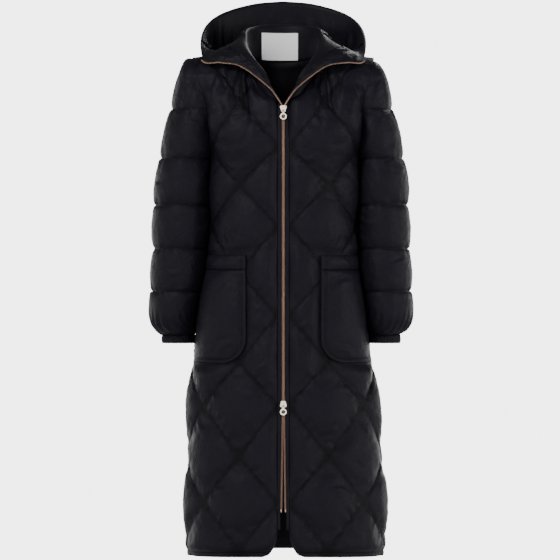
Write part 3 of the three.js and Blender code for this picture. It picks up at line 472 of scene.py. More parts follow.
def front_edge(z):
    """How far the front's edge lies from the middle, rounded at the hem."""
    part = np.clip((PLACKET_BOTTOM - z) / (PLACKET_BOTTOM - HEM), 0, 1)
    return PANEL_EDGE + 0.034 * (1 - math.sqrt(1 - part * part))


def eased(points, middle, lasts):
    """The depth of a panel's rows smoothed where the yoke leaves the straight body."""
    column = np.arange(points.shape[1])
    blend = np.clip(np.minimum(column, lasts[middle] - column) / 10, 0, 1)
    depth = points[..., 1]
    for _ in range(3):
        calm = depth.copy()
        for j in range(middle - 10, middle + 11):
            near = depth[j - 3:j + 4].mean(axis=0)
            share = blend * (1 - abs(j - middle) / 11)
            calm[j] = mix(depth[j], near, share)
        depth = calm
    points[..., 1] = depth
    return points


def panel_half(side, face):
    """A body panel's half: base points, flat-cloth places, and each row's last column."""
    first = PANEL_EDGE if face < 0 else 0.0
    columns = (FRONT_COLUMNS if face < 0 else BACK_COLUMNS) + first
    cell = DIAMOND / CELLS
    steps = [np.linspace(a, b, CELLS + 1)[:-1] for a, b in zip(CROSSINGS[:9], CROSSINGS[1:10])]
    heights = np.concatenate([[HEM, (HEM + HEM_STITCH) / 2], *steps, [UNDERARM]])
    rows, flats, lasts = [], [], []
    widest = max(body_length(side, face, z) for z in heights)
    count = int(round((widest - first) / cell)) + 1
    for z in heights:
        length = body_length(side, face, z) - SEAM / 2
        last = int(round((length - first) / cell))
        s = first + cell * np.arange(count)
        start = front_edge(z) if face < 0 else 0.0
        low = s < columns[-1]
        s[low] = mix(start, columns[-1], (s[low] - first) / (columns[-1] - first))
        s[last:] = length
        rows.append(body_points(side, face, s, z))
        flats.append(np.stack([s, np.full(count, z)], -1))
        lasts.append(last)
    base, base_s = rows[-1], flats[-1][:, 0]
    length = base_s[-1]
    loose = mix(columns[-1], length, np.array([1, 2, 3]) / 3)
    known = np.concatenate([columns, loose])
    end = len(known) - 1
    i = np.interp(base_s, known, np.arange(end + 1))
    seam = np.array([0, face * SEAM / 2, 0])
    part = np.clip((i - NECK_COLUMNS) / (end - NECK_COLUMNS), 0, 1)
    shoulder = np.stack([
        side * mix(NECK_SIDE, SHOULDER_X, part), np.zeros(count), ARMHOLE_TOP * part ** 1.15,
    ], -1)
    neck = neck_points(side, face, np.clip(i / NECK_COLUMNS, 0, 1))
    top = np.where((i <= NECK_COLUMNS)[:, None], neck, shoulder) + seam
    f = (i / end)[:, None]
    for t in np.linspace(0, 1, YOKE_ROWS + 1)[1:]:
        centre = mix(base[0], top[0], t)
        centre[1] = mix(base[0][1], top[0][1], t ** 1.7)
        z = np.interp(t * 7, np.arange(8), YOKE_HEIGHTS)
        arm = armhole_points(side, face, armhole_angle(z)) + seam
        arm[0] -= side * ARMHOLE_SEAM
        rate = np.array([t, t ** 1.4, t])
        crossing = mix(centre, arm, f)
        low, high = mix(base[0], base[-1], f), mix(top[0], top[-1], f)
        p = mix(base, top, rate) + crossing - mix(low, high, rate)
        s = mix(base_s, np.abs(p[:, 0]) * 1.04, smooth(t * 1.6))
        rows.append(p)
        flats.append(np.stack([s, p[:, 2]], -1))
        lasts.append(lasts[len(heights) - 1])
    to_armhole = np.full((len(rows), count), 99.0)
    to_armhole[len(heights):] = (end - i)
    lengths = np.array([body_length(side, face, z) for z in heights] + [length] * YOKE_ROWS)
    return {
        "points": hang(eased(np.array(rows), len(heights) - 1, np.array(lasts))),
        "flat": np.array(flats), "last": np.array(lasts),
        "to_armhole": to_armhole, "length": lengths, "first": first,
    }


def under_pocket(flat, front):
    """1 where a pocket lies over the front and presses the quilting flat."""
    if not front:
        return np.zeros(flat.shape[:-1])
    def ramp(distance):
        return np.clip((distance + 0.022) / 0.018, 0, 1)
    s, z = flat[..., 0], flat[..., 1]
    return np.minimum(np.minimum(ramp(s - POCKET_EDGE), ramp(POCKET_TOP - z)), ramp(z - POCKET_BOTTOM))


def panel_room(half, front):
    """How much of the quilting's loft each point of a panel half may take."""
    flat, length = half["flat"], half["length"][:, None]
    s, z = flat[..., 0], flat[..., 1]
    yoke = half["to_armhole"] < 90
    beside = np.where(z > -0.690, np.clip((length - s) / 0.060, 0.3, 1), 1)
    beside = beside * np.clip(np.hypot(length - s, UNDERARM - z) / 0.070 - 0.35, 0, 1)
    beside = np.where(yoke, np.clip((half["to_armhole"] - 1) / 2.5, 0, 1), beside)
    return beside * (1 - under_pocket(flat, front))


# Cloth over a grid of base points
def knit(ids):
    """Quads and triangles over a grid of point numbers; a repeated number closes a corner."""
    faces = []
    for j in range(ids.shape[0] - 1):
        for i in range(ids.shape[1] - 1):
            loop = [int(v) for v in (ids[j, i], ids[j, i + 1], ids[j + 1, i + 1], ids[j + 1, i])]
            kept = [v for k, v in enumerate(loop) if v != loop[k - 1]]
            if len(kept) > 2:
                faces.append(kept)
    return faces


def numbered(shape, last=None):
    """Point numbers of a grid; columns past a row's last one fall on it."""
    ids = np.arange(shape[0] * shape[1]).reshape(shape)
    if last is not None:
        for j, end in enumerate(last):
            ids[j, end:] = ids[j, end]
    return ids


def compact(faces, *arrays):
    """Drops points that no face uses."""
    used = sorted({v for face in faces for v in face})
    number = {v: k for k, v in enumerate(used)}
    return ([[number[v] for v in face] for face in faces], *(a[used] for a in arrays))


def vertex_normals(points, faces):
    """Each point's direction out of the faces round it."""
    triangles = np.array([(f[0], f[k], f[k + 1]) for f in faces for k in range(1, len(f) - 1)])
    a, b, c = (points[triangles[:, k]] for k in range(3))
    across = np.cross(b - a, c - a)
    normals = np.zeros_like(points)
    for k in range(3):
        np.add.at(normals, triangles[:, k], across)
    return unit(normals)


def border_of(faces):
    """Pairs of points on the cloth's open edges, in the faces' own direction."""
    seen = {}
    for face in faces:
        for a, b in zip(face, face[1:] + face[:1]):
            if (b, a) in seen:
                del seen[(b, a)]
            else:
                seen[(a, b)] = True
    return list(seen)


class Cloth:
    """A padded piece: base points, outward directions, flat places, rise and room for loft."""

    def __init__(self, name, faces, base, flat, room, hint, wall=WALL):
        self.name, self.wall = name, wall
        self.faces, self.base, self.flat, self.room = compact(faces, base, flat, room)
        out = vertex_normals(self.base, self.faces)
        out = unit(np.where(np.abs(self.base[:, 1:2]) < SEAM, out * (1, 0, 1), out))
        if not name.startswith(("hood", "pocket")):
            rim = np.unique(np.array(border_of(self.faces)))
            armhole = rim[(self.base[rim, 2] > UNDERARM + 0.03) & (np.abs(self.base[rim, 0]) > 0.15)]
            out[armhole] = unit(out[armhole] * (0, 1, 1))
        if (out @ np.asarray(hint, float)).sum() < 0:
            self.faces = [face[::-1] for face in self.faces]
            out = -out
        self.out = out
        self.border = border_of(self.faces)
        self.edge = np.unique(np.array(self.border))
        self.seat = self.base + self.out * self.wall
        self.start = self.seat.copy()
        self.cap = np.full(len(self.base), 0.03)
        self.held = self.edge
        self.folds = FOLDS.get(name, [])

    def flip(self):
        """Turns the cloth's faces over."""
        self.faces = [face[::-1] for face in self.faces]
        self.border = [(b, a) for a, b in self.border]
        self.out = -self.out
        self.seat = self.base + self.out * self.wall


def new_object(name, points, faces, material=None):
    """A mesh object from points and faces."""
    mesh = bpy.data.meshes.new(name)
    mesh.from_pydata(np.asarray(points, float).tolist(), [], faces)
    mesh.update()
    obj = linked(name, mesh)
    if material:
        mesh.materials.append(material)
    return obj


def swell(cloths):
    """Runs all the padded pieces as cloth at once, held at their stitches."""
    objects = []
    for c in cloths:
        obj = new_object("swelling", c.start, c.faces)
        group = obj.vertex_groups.new(name="held")
        group.add([int(v) for v in c.held], 1.0, "REPLACE")
        cloth = obj.modifiers.new("Cloth", "CLOTH")
        for setting, value in SIM_SETTINGS.items():
            setattr(cloth.settings, setting, value)
        cloth.settings.uniform_pressure_force = c.pressure
        cloth.settings.shrink_min = -c.slack
        cloth.settings.vertex_group_mass = "held"
        cloth.settings.effector_weights.gravity = 0
        cloth.collision_settings.use_collision = False
        cloth.point_cache.frame_start, cloth.point_cache.frame_end = 1, SIM_FRAMES
        objects.append(obj)
    scene = bpy.context.scene
    for number in range(1, SIM_FRAMES + 1):
        scene.frame_set(number)
    graph = bpy.context.evaluated_depsgraph_get()
    results = []
    for c, obj in zip(cloths, objects):
        mesh = obj.evaluated_get(graph).data
        moved = np.empty(len(mesh.vertices) * 3)
        mesh.vertices.foreach_get("co", moved)
        moved = moved.reshape(-1, 3)
        away = moved - c.start
        far = np.linalg.norm(away, axis=1, keepdims=True)
        results.append(c.start + SWELL_SHARE * away * np.minimum(1, MOST_SWELL / np.maximum(far, 1e-9)))
    for obj in objects:
        mesh = obj.data
        bpy.data.objects.remove(obj)
        bpy.data.meshes.remove(mesh)
    scene.frame_set(1)
    return results


def subdivided(c, points):
    """The cloth with each face cut in four, as arrays: points, seats, directions, flat, room."""
    obj = new_object("fine", points, c.faces)
    for name, values in (("seat", c.seat), ("out", c.out)):
        layer = obj.data.attributes.new(name, "FLOAT_VECTOR", "POINT")
        layer.data.foreach_set("vector", values.ravel())
    layer = obj.data.attributes.new("cloth", "FLOAT_VECTOR", "POINT")
    layer.data.foreach_set("vector", np.column_stack([c.flat, c.room]).ravel())
    layer = obj.data.attributes.new("cap", "FLOAT", "POINT")
    layer.data.foreach_set("value", c.cap)
    fine = obj.modifiers.new("Fine", "SUBSURF")
    fine.levels = fine.render_levels = 1
    fine.boundary_smooth = "PRESERVE_CORNERS"
    graph = bpy.context.evaluated_depsgraph_get()
    mesh = bpy.data.meshes.new_from_object(obj.evaluated_get(graph))
    def vectors(layer, key="vector", width=3):
        values = np.empty(len(mesh.vertices) * width)
        layer.foreach_get(key, values)
        return values.reshape(-1, width)
    found = {
        "points": vectors(mesh.vertices, "co"),
        "seat": vectors(mesh.attributes["seat"].data),
        "out": unit(vectors(mesh.attributes["out"].data)),
        "cloth": vectors(mesh.attributes["cloth"].data),
        "cap": vectors(mesh.attributes["cap"].data, "value", 1)[:, 0],
        "faces": [list(p.vertices) for p in mesh.polygons],
    }
    coarse = obj.data
    edges = {tuple(sorted(e.vertices)): len(coarse.vertices) + k for k, e in enumerate(coarse.edges)}
    bpy.data.objects.remove(obj)
    bpy.data.meshes.remove(coarse)
    bpy.data.meshes.remove(mesh)
    return found, edges


def finished(name, points, faces, flat, material, uv_scale=(1, 1)):
    """A mesh with smooth faces and a UV map of the flat cloth in metres."""
    obj = new_object(name, points, faces, material)
    mesh = obj.data
    mesh.polygons.foreach_set("use_smooth", [True] * len(mesh.polygons))
    layer = mesh.uv_layers.new(name="cloth")
    corner = np.empty(len(mesh.loops), dtype=np.int32)
    mesh.loops.foreach_get("vertex_index", corner)
    layer.data.foreach_set("uv", (flat[:, :2] * np.asarray(uv_scale))[corner].ravel())
    return obj


def folds(flat, listed):
    """Soft single folds: from one flat place to another, their width and height."""
    total = np.zeros(len(flat))
    for s0, z0, s1, z1, width, height in np.array(listed, float).reshape(-1, 6) / 10000:
        start, way = np.array([s0, z0]), np.array([s1 - s0, z1 - z0])
        part = ((flat - start) @ way) / (way @ way)
        bend = 0.05 * np.linalg.norm(way) * np.sin(2.3 * math.pi * np.clip(part, 0, 1) + 40 * s0)
        beside = (flat - start) @ np.array([-way[1], way[0]]) / np.linalg.norm(way) - bend
        ends = smooth(part / 0.45) * smooth((1 - part) / 0.45)
        ridge = np.exp(-(beside / width) ** 2) - 0.5 * np.exp(-(beside / width - 1.7) ** 2)
        total += 0.8 * height * ends * ridge
    return total


def padded_shell(c, swelled, material, uv_scale):
    """The outer cloth with sharp stitch lines, a plain inside, a closed rim, and a 'line' attribute that
    marks the stitch lines for painted shade.
    """
    fine, edges = subdivided(c, swelled)
    flat = fine["cloth"][:, :2]
    away = fine["points"] - fine["seat"]
    depth = np.clip(c.rise_of(flat) / LINE_WIDTH, 0, 1) ** 0.55
    p = fine["seat"] + away * depth[:, None]
    small = noise(fine["seat"], 0.013) * 0.6 + noise(fine["seat"], 0.007, SEED + 1) * 0.4
    inside = np.clip(fine["cloth"][:, 2], 0, 1)
    wrinkles = inside * (c.puckers(flat) + folds(flat, c.folds))
    p += fine["out"] * (depth * (CRINKLE_HEIGHT * small + wrinkles))[:, None]
    lift = ((p - fine["seat"]) * fine["out"]).sum(axis=1)
    over = lift - np.clip(lift, -0.0015, fine["cap"])
    p -= fine["out"] * over[:, None]
    count = len(p)
    faces = [list(f) for f in fine["faces"]]
    faces += [[count + v for v in face[::-1]] for face in c.faces]
    for a, b in c.border:
        middle = edges[tuple(sorted((a, b)))]
        faces += [[middle, a, count + a], [middle, count + a, count + b], [b, middle, count + b]]
    points = np.concatenate([p, c.base])
    obj = finished(c.name, points, faces, np.concatenate([flat, c.flat]), material, uv_scale)
    # The 'line' attribute is 1 on the stitch lines and 0 beyond their groove. The finish darkens the
    # colour by it, as painted shade in the stitch creases.
    layer = obj.data.attributes.new("line", "FLOAT", "POINT")
    layer.data.foreach_set("value", np.concatenate([1 - depth, np.zeros(len(c.base))]))
    c.fine = {"points": p, "out": fine["out"], "flat": flat}
    return obj


def declare(obj, body, slot, *nodes):
    """Puts a piece on its body, in place of its CAD nodes; slot is not used."""
    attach(obj, body)
    if nodes:
        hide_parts(*nodes)


def nearest(points):
    """A tree that finds the points nearest to a place."""
    tree = KDTree(len(points))
    for k, point in enumerate(points):
        tree.insert(point, k)
    tree.balance()
    return tree


def from_border(c):
    """Each point's distance from the nearest edge of its cloth."""
    edge = nearest(c.base[c.edge])
    return np.array([edge.find(point)[2] for point in c.base])


def fill_out(c, rise, loft, pressure, slack=0.05, still=0.05, thick=0.002, full=0.0):
    """Sets a cloth's start: raised by loft where rise is 1, held where rise is near 0."""
    distance = from_border(c)
    c.seat = c.base + c.out * (c.wall + thick * np.maximum(smooth(distance / 0.020), full))[:, None]
    inside = np.clip(distance / mix(0.018, 0.007, full), 0, 1) ** 0.5
    lift = loft * np.clip(rise, 0, 1) ** 0.5 * c.room * inside
    c.start = c.seat + c.out * (0.8 * lift)[:, None]
    c.cap = loft * c.room + 0.0035
    c.held = np.unique(np.concatenate([c.edge, np.flatnonzero(rise < still)]))
    c.pressure, c.slack = pressure, slack


def at_sides(c, half_lengths):
    """1 near the side seams below the arm, where the filling runs on round the body."""
    s, z = np.abs(c.flat[:, 0]), c.flat[:, 1]
    below_arm = np.clip((UNDERARM - 0.012 - z) / 0.02, 0, 1)
    return np.clip((s - half_lengths + 0.035) / 0.020, 0, 1) * below_arm


def at_shoulder(c):
    """1 near the shoulder and the top of the armhole, where the seams lie high."""
    x, z = np.abs(c.base[:, 0]), c.base[:, 2]
    return np.clip((z + 0.085) / 0.03, 0, 1) * np.clip((x - 0.12) / 0.03, 0, 1)


def side_lengths(flat, side, face):
    """How far the side seam lies from the middle at each flat place's height."""
    heights = np.linspace(HEM, ARMHOLE_TOP, 60)
    lengths = [body_length(side, face, z) for z in heights]
    return np.interp(flat[:, 1], heights, lengths)


def body_thick(c):
    """The extra wall under the quilting, more at the sides and the shoulders."""
    return 0.0035 + 0.0045 * np.maximum(np.abs(c.out[:, 0]), at_shoulder(c))


def body_rise(first):
    """A function for how high the diamonds rise, counted from the first column's edge."""
    def rise(flat):
        s, z = flat[:, 0], flat[:, 1]
        diamonds = cushion((s - first) / DIAMOND, stitch_row(z))
        return diamonds * np.clip(np.abs(z - HEM_STITCH) / 0.012, 0, 1)
    return rise


def body_puckers(first, seed):
    """Short wrinkles that run off the diamonds' stitch lines, of uneven length and depth."""
    def puckers(flat):
        column, row = (flat[:, 0] - first) / DIAMOND, stitch_row(flat[:, 1])
        total = np.zeros(len(flat))
        for number, sign in enumerate((-1, 1)):
            over, along = column + sign * row, column - sign * row
            near = np.abs(np.mod(over, 2) - 1)
            lines = np.stack([along * 6.5, np.floor(over / 2 + 0.5) * 3.1, over * 0.9], -1)
            patches = np.stack([along * 0.8, over * 0.5, along * 0 + seed], -1)
            reach = 0.20 + 0.16 * noise(patches, 1.0, seed + 5 * number)
            weight = np.exp(-near / np.maximum(reach, 0.05)) * np.clip(near / 0.05, 0, 1)
            total += weight * noise(lines, 1.0, seed + number)
        return BODY_PUCKER * total
    return puckers


def front_cloth(name):
    """A front: diamonds, pressed under the pocket and pleated below the collar."""
    side = SIDES[name]
    half = panel_half(side, -1)
    ids = numbered(half["last"].shape + (half["points"].shape[1],), half["last"])
    room = panel_room(half, True)
    c = Cloth(f"front_{name}", knit(ids), half["points"].reshape(-1, 3), half["flat"].reshape(-1, 2),
              room.ravel(), (0, -1, 0))
    c.rise_of, c.puckers = body_rise(PANEL_EDGE), body_puckers(PANEL_EDGE, 60 + side)
    full = np.maximum(at_sides(c, side_lengths(c.flat, side, -1)), at_shoulder(c))
    fill_out(c, c.rise_of(c.flat), DIAMOND_LOFT, BODY_PRESSURE, thick=body_thick(c), full=full)
    s, z = c.flat.T
    pressed = under_pocket(c.flat, True) > 0.6
    c.held = np.unique(np.concatenate([c.held, np.flatnonzero(pressed)]))
    down = np.clip((z + 0.150) / 0.060, 0, 1)
    across = np.clip((s - 0.040) / 0.030, 0, 1) * np.clip((0.170 - s) / 0.030, 0, 1)
    pleats = 0.0035 * np.sin(s * 2 * math.pi / 0.029 + 3 * noise(c.base, 0.05)) * down * across
    free = np.ones(len(s))
    free[c.edge] = 0
    c.start += c.out * (np.clip(pleats, -0.002, 1) * free)[:, None]
    return c


def back_cloth():
    """The back in one piece, and its two halves for the lining."""
    halves = [panel_half(side, 1) for side in (-1, 1)]
    left, right = halves
    def joined(a, b):
        return np.concatenate([a[:, :0:-1], b], axis=1)
    points = joined(left["points"], right["points"])
    flat = joined(left["flat"] * (-1, 1), right["flat"])
    room = joined(*(panel_room(half, False) for half in halves))
    middle = left["points"].shape[1] - 1
    ids = numbered(room.shape)
    for j in range(len(ids)):
        low, high = middle - left["last"][j], middle + right["last"][j]
        ids[j, :low] = ids[j, low]
        ids[j, high:] = ids[j, high]
    c = Cloth("back", knit(ids), points.reshape(-1, 3), flat.reshape(-1, 2), room.ravel(), (0, 1, 0))
    c.rise_of, c.puckers = body_rise(0.0), body_puckers(0.0, 70)
    full = np.where(c.flat[:, 0] < 0, at_sides(c, side_lengths(c.flat, -1, 1)),
                    at_sides(c, side_lengths(c.flat, 1, 1)))
    fill_out(c, c.rise_of(c.flat), DIAMOND_LOFT, BODY_PRESSURE, thick=body_thick(c),
             full=np.maximum(full, at_shoulder(c)))
    return c, halves


# Sleeves
SLEEVE_COLUMNS = 76


def sleeve_row(name, z):
    """A ring of the sleeve, open towards the armhole above the underarm."""
    side = SIDES[name]
    far = read(SLEEVE, FAR, z) + SLEEVE_LEAN[name] - LOFT
    angle = float(armhole_angle(z))
    is_open = z >= UNDERARM - 1e-9
    half = read(BODY, HALF, z) + side * read(BODY, LEAN, z)
    near = side * armhole_points(side, -1, angle)[0] + ARMHOLE_SEAM
    if not is_open:
        clear = np.clip((UNDERARM - z) / 0.060, 0, 1)
        near = half + mix(-0.004, NEAR_BODY, clear)
    reach = max(angle, math.pi / 2) if is_open else math.pi
    across = (far - near) / (1 - math.cos(reach))
    deep = read(SLEEVE, DEPTH, z) - 0.010
    if is_open:
        deep = ARMHOLE_DEPTH * (math.sin(angle) if angle < math.pi / 2 else 1)
    turn = reach * np.linspace(-1, 1, SLEEVE_COLUMNS + 1)
    x = far - across + across * np.cos(turn)
    return np.stack([side * x, deep * np.sin(turn), np.full(len(turn), z)], -1), turn, is_open


def channel_rise(flat):
    """0 on a channel's stitch line, 1 in its middle, low at the sleeve's head."""
    row = np.interp(flat[:, 1], CHANNELS, np.arange(len(CHANNELS)))
    rise = np.sin(math.pi * np.mod(row, 1)).clip(0)
    return np.where(row > len(CHANNELS) - 1.5, 1 - 0.9 * smooth((row - len(CHANNELS) + 1.5) * 2), rise)


def sleeve_puckers(seed):
    """Wrinkles that run up and down off the channels' stitch lines."""
    def puckers(flat):
        row = np.interp(flat[:, 1], CHANNELS, np.arange(len(CHANNELS)))
        near = np.abs(row - np.round(row))
        side_to_side = np.stack([flat[:, 0] / 0.0125, np.floor(row) * 5.3, row * 1.1], -1)
        patches = np.stack([flat[:, 0] / 0.07, np.round(row) * 3.7, row * 0 + seed], -1)
        reach = 0.13 + 0.09 * noise(patches, 1.0, seed + 3)
        weight = np.exp(-near / np.maximum(reach, 0.03)) * np.clip(near / 0.03, 0, 1)
        return SLEEVE_PUCKER * weight * noise(side_to_side, 1.0, seed)
    return puckers


def sleeve_cloth(name):
    """A sleeve in channels, gathered towards its cuff."""
    side = SIDES[name]
    steps = [np.linspace(a, b, CELLS + 1)[:-1] for a, b in zip(CHANNELS[:-1], CHANNELS[1:])]
    heights = np.concatenate([*steps, [ARMHOLE_TOP]])
    under = int(np.argmin(np.abs(heights - UNDERARM)))
    heights[under] = UNDERARM
    rows, flats, rooms, ids = [], [], [], numbered((len(heights), SLEEVE_COLUMNS + 1))
    for j, z in enumerate(heights):
        points, turn, is_open = sleeve_row(name, z)
        along = run_lengths(points)
        from_seam = np.minimum(np.arange(len(turn)), len(turn) - 1 - np.arange(len(turn)))
        if is_open and j != under:
            room = np.clip((from_seam * 18 / SLEEVE_COLUMNS - 0.6) / 2.4, 0, 1)
        else:
            room = 0.25 + 0.75 * smooth((math.pi - np.abs(turn)) / 1.4)
            ids[j, -1] = ids[j, 0]
        rows.append(points)
        flats.append(np.stack([along - along[-1] / 2, np.full(len(turn), z)], -1))
        rooms.append(room)
    ids[-1] = ids[-1, np.minimum(np.arange(len(turn)), len(turn) - 1 - np.arange(len(turn)))]
    c = Cloth(f"sleeve_{name}", knit(ids), np.concatenate(rows), np.concatenate(flats),
              np.concatenate(rooms), (0, 0, 0))
    centre = np.array([side * 0.24, 0, 0])
    if ((c.base - centre) * c.out * (1, 1, 0)).sum() < 0:
        c.flip()
    c.rise_of, c.puckers = channel_rise, sleeve_puckers(80 + side)
    rise = channel_rise(c.flat)
    far = np.clip(side * c.out[:, 0], 0, 1)
    upper, lower = (0.001, 0.001) if side < 0 else (0.004, 0.007)
    extra = (upper - lower * smooth((-0.28 - c.flat[:, 1]) / 0.12)) * far
    head = at_shoulder(c) * np.clip((0.240 - np.abs(c.base[:, 0])) / 0.020, 0, 1)
    fill_out(c, rise, CHANNEL_LOFT, SLEEVE_PRESSURE, slack=0.055, still=0.02,
             thick=0.004 + np.maximum(extra, 0.004 * head), full=at_shoulder(c))
    s, z = c.flat.T
    near_cuff = np.clip((-0.585 - z) / 0.035, 0, 1) * np.clip(rise / 0.3, 0, 1)
    gathers = 0.0026 * np.sin(s * 2 * math.pi / 0.016 + 4 * noise(c.base, 0.04)) * near_cuff
    c.start += c.out * gathers[:, None]
    return c


def cuff(name, material):
    """A short gathered band below the sleeve, its folds pressed close together."""
    side = SIDES[name]
    points, turn, _ = sleeve_row(name, CHANNELS[0])
    count = 132
    fine = np.linspace(-math.pi, math.pi, count + 1)[:-1]
    ring = between(fine, turn, points)
    out = unit(np.stack([side * np.cos(fine), np.sin(fine), np.zeros(count)], -1))
    levels = np.linspace(0, 1, 7)
    outer, inner = [], []
    fold = np.sin(fine * 40 + 1.5 * np.sin(fine * 7 + side))
    for part in levels:
        z = points[0, 2] - 0.0004 - CUFF_HEIGHT * part
        level = np.column_stack([ring[:, :2], np.full(count, z)])
        soft = 0.55 + 0.45 * math.sin(math.pi * part)
        rise = CUFF_WALL + CUFF_FOLD * (0.5 + 0.5 * fold * soft) + 0.0012 * math.sin(math.pi * part)
        outer.append(level + out * rise[:, None])
        inner.append(level + out * (0.0012 + 0.0008 * fold * soft)[:, None])
    grid = np.array(outer + inner[::-1])
    ids = numbered((len(grid), count))
    ids = np.concatenate([ids, ids[:1]])
    ids = np.concatenate([ids, ids[:, :1]], axis=1)
    faces = knit(ids)
    verts = grid.reshape(-1, 3)
    s = np.tile(fine * 0.036, len(grid))
    obj = finished(f"cuff_{name}_cloth", verts, faces, np.stack([s, verts[:, 2]], -1), material)
    face_out(obj)
    declare(obj, "root", "shell", f"cuff_{name}")


def face_out(obj):
    """Turns a closed mesh's faces outward by its volume."""
    mesh = obj.data
    mesh.calc_loop_triangles()
    points = np.empty(len(mesh.vertices) * 3)
    mesh.vertices.foreach_get("co", points)
    points = points.reshape(-1, 3)
    tris = np.empty(len(mesh.loop_triangles) * 3, dtype=np.int64)
    mesh.loop_triangles.foreach_get("vertices", tris)
    a, b, c = (points[tris.reshape(-1, 3)[:, k]] for k in range(3))
    if (a * np.cross(b, c)).sum() < 0:
        mesh.flip_normals()


# The hood and collar
def hood_controls(turn):
    """Six places across the hood at each turn: neck, half, crest, near, low, edge."""
    side, at = np.where(turn < 0, -1.0, 1.0), np.abs(turn)
    behind = neck_points(side, 1, np.clip(at / SIDE_TURN, 0, 1))
    front = neck_points(side, -1, np.clip((1 - at) / (1 - SIDE_TURN), 0, 1))
    neck = np.where((at <= SIDE_TURN)[:, None], behind, front) + (0, 0, 2 * SEAM)
    row = {k: read(HOOD, k, at) for k in range(1, 8)}
    out = unit(neck * (1, 1, 0))
    zero = np.zeros(len(turn))
    crest = neck + out * row[OUT][:, None] + np.stack([zero, zero, row[UP]], -1)
    half = neck + out * (0.2 * row[OUT])[:, None] + np.stack([zero, zero, 0.55 * row[UP]], -1)
    edge = np.stack([side * row[EDGE_X], row[EDGE_Y], row[EDGE_Z]], -1)
    arch = 0.12 * np.linalg.norm(crest - edge, axis=1) * (1 - np.clip(row[DROP] / 0.040, 0, 1))
    near = mix(crest, edge, 1 / 3) + np.stack([zero, row[BAG] / 2, arch - 0.75 * row[DROP]], -1)
    low = mix(crest, edge, 2 / 3) + np.stack([zero, row[BAG], arch - row[DROP]], -1)
    return np.stack([neck, half, crest, near, low, edge], 1)


def hood_at(turn, along):
    """Points of the hood's cloth for pairs of turn and along."""
    c = hood_controls(turn)
    c = np.concatenate([2 * c[:, :1] - c[:, 1:2], c, 2 * c[:, -1:] - c[:, -2:-1]], axis=1)
    k = np.clip(np.floor(along).astype(int), 0, 4)
    t = (along - k)[:, None]
    each = np.arange(len(turn))
    a, b, d, e = (c[each, k + step] for step in range(4))
    return b + 0.5 * t * (d - a + t * (2 * a - 5 * b + 4 * d - e + t * (3 * b - a - 3 * d + e)))


def hood_out(turn, along):
    """Directions out of the hood's cloth."""
    step = 0.01
    t0, t1 = np.clip(turn - step, -1, 1), np.clip(turn + step, -1, 1)
    a0, a1 = np.clip(along - step, 0, EDGE), np.clip(along + step, 0, EDGE)
    across = hood_at(t1, along) - hood_at(t0, along)
    up = hood_at(turn, a1) - hood_at(turn, a0)
    return unit(np.cross(up, across))


def hood_flat(turn, along):
    """Places on the hood's cloth laid flat, in metres."""
    return np.stack([turn, along], -1) * HOOD_FLAT


def hood_grid(turns, path):
    """A grid over the hood: turns, places along, points and directions."""
    turn, along = (a.ravel() for a in np.meshgrid(turns, path))
    return turn, along, hood_at(turn, along), hood_out(turn, along)


def hood_rise(flat):
    """The hood's diamonds, over turn and along."""
    return cushion(flat[:, 0] / GUSSET, (EDGE - flat[:, 1]) * 3)


def no_puckers(flat):
    """For cloth that lies smooth beside its seams."""
    return np.zeros(len(flat))


def hood_cloth(name, start, end):
    """One of the hood's three panels, between two turns round the neck."""
    gap = 0.0015
    turns = np.linspace(start + gap, end - gap, int(round((end - start) / 0.0125)) + 1)
    path = np.concatenate([np.linspace(0, 2, 18)[:-1], np.linspace(2, EDGE, 61)])
    turn, along, base, out = hood_grid(turns, path)
    ids = numbered((len(path), len(turns)))
    hanging = np.clip(read(HOOD, DROP, np.abs(turn)) / 0.090, 0, 1)
    room = hanging * np.clip(along - 2.4, 0, 1)
    c = Cloth(name, knit(ids), base, np.stack([turn, along], -1), room, (0, 0, 0), HOOD_WALL)
    if (c.out * out).sum() < 0:
        c.flip()
    c.out = out
    c.seat = c.base + out * c.wall
    c.rise_of, c.puckers = hood_rise, no_puckers
    fill_out(c, hood_rise(c.flat), HOOD_LOFT, HOOD_PRESSURE)
    c.held = np.unique(np.concatenate([c.held, np.flatnonzero(c.room < 0.04)]))
    return c


def thin_cloth(name, ids, points, out, thick, flat, material, uv_scale=(1, 1)):
    """A closed thin shell: its outer face on points, its other face inward by thick."""
    faces, points, out, flat = compact(knit(ids), points, out, flat)
    if (vertex_normals(points, faces) * out).sum() < 0:
        faces = [face[::-1] for face in faces]
    count = len(points)
    both = faces + [[count + v for v in face[::-1]] for face in faces]
    both += [[b, a, count + a, count + b] for a, b in border_of(faces)]
    places = np.concatenate([points, points - out * thick])
    return finished(name, places, both, np.concatenate([flat, flat]), material, uv_scale)


def hood_inside(name, node, turns, path, material, creases):
    """Thin cloth lying on the hood's inner side, with soft creases that stand inward."""
    turn, along, base, out = hood_grid(turns, path)
    fold = creases(turn, along, base)
    points = base - out * (LIE + np.clip(fold, 0, None))[:, None]
    ids = numbered((len(path), len(turns)))
    flat = hood_flat(turn, along)
    obj = thin_cloth(name, ids, points, out, THIN, flat, material)
    declare(obj, "root", "inside", node)


def lining_creases(turn, along, base):
    """The hood lining's crinkles, running up from the neck and fading at the edge."""
    wide = 1 - 2.6 * np.abs(noise(base, (0.020, 0.020, 0.038)))
    fine = 1 - 2.6 * np.abs(noise(base, (0.011, 0.011, 0.024), 3))
    fade = np.clip((along - CREST) / 0.2, 0, 1) * np.clip((EDGE - along) / 0.25, 0, 1)
    large = folds(hood_flat(turn, along), FOLDS["hood_lining"])
    return fade * (0.0018 + large + LINING_CREASE * (wide.clip(0) + 0.5 * fine.clip(0)))


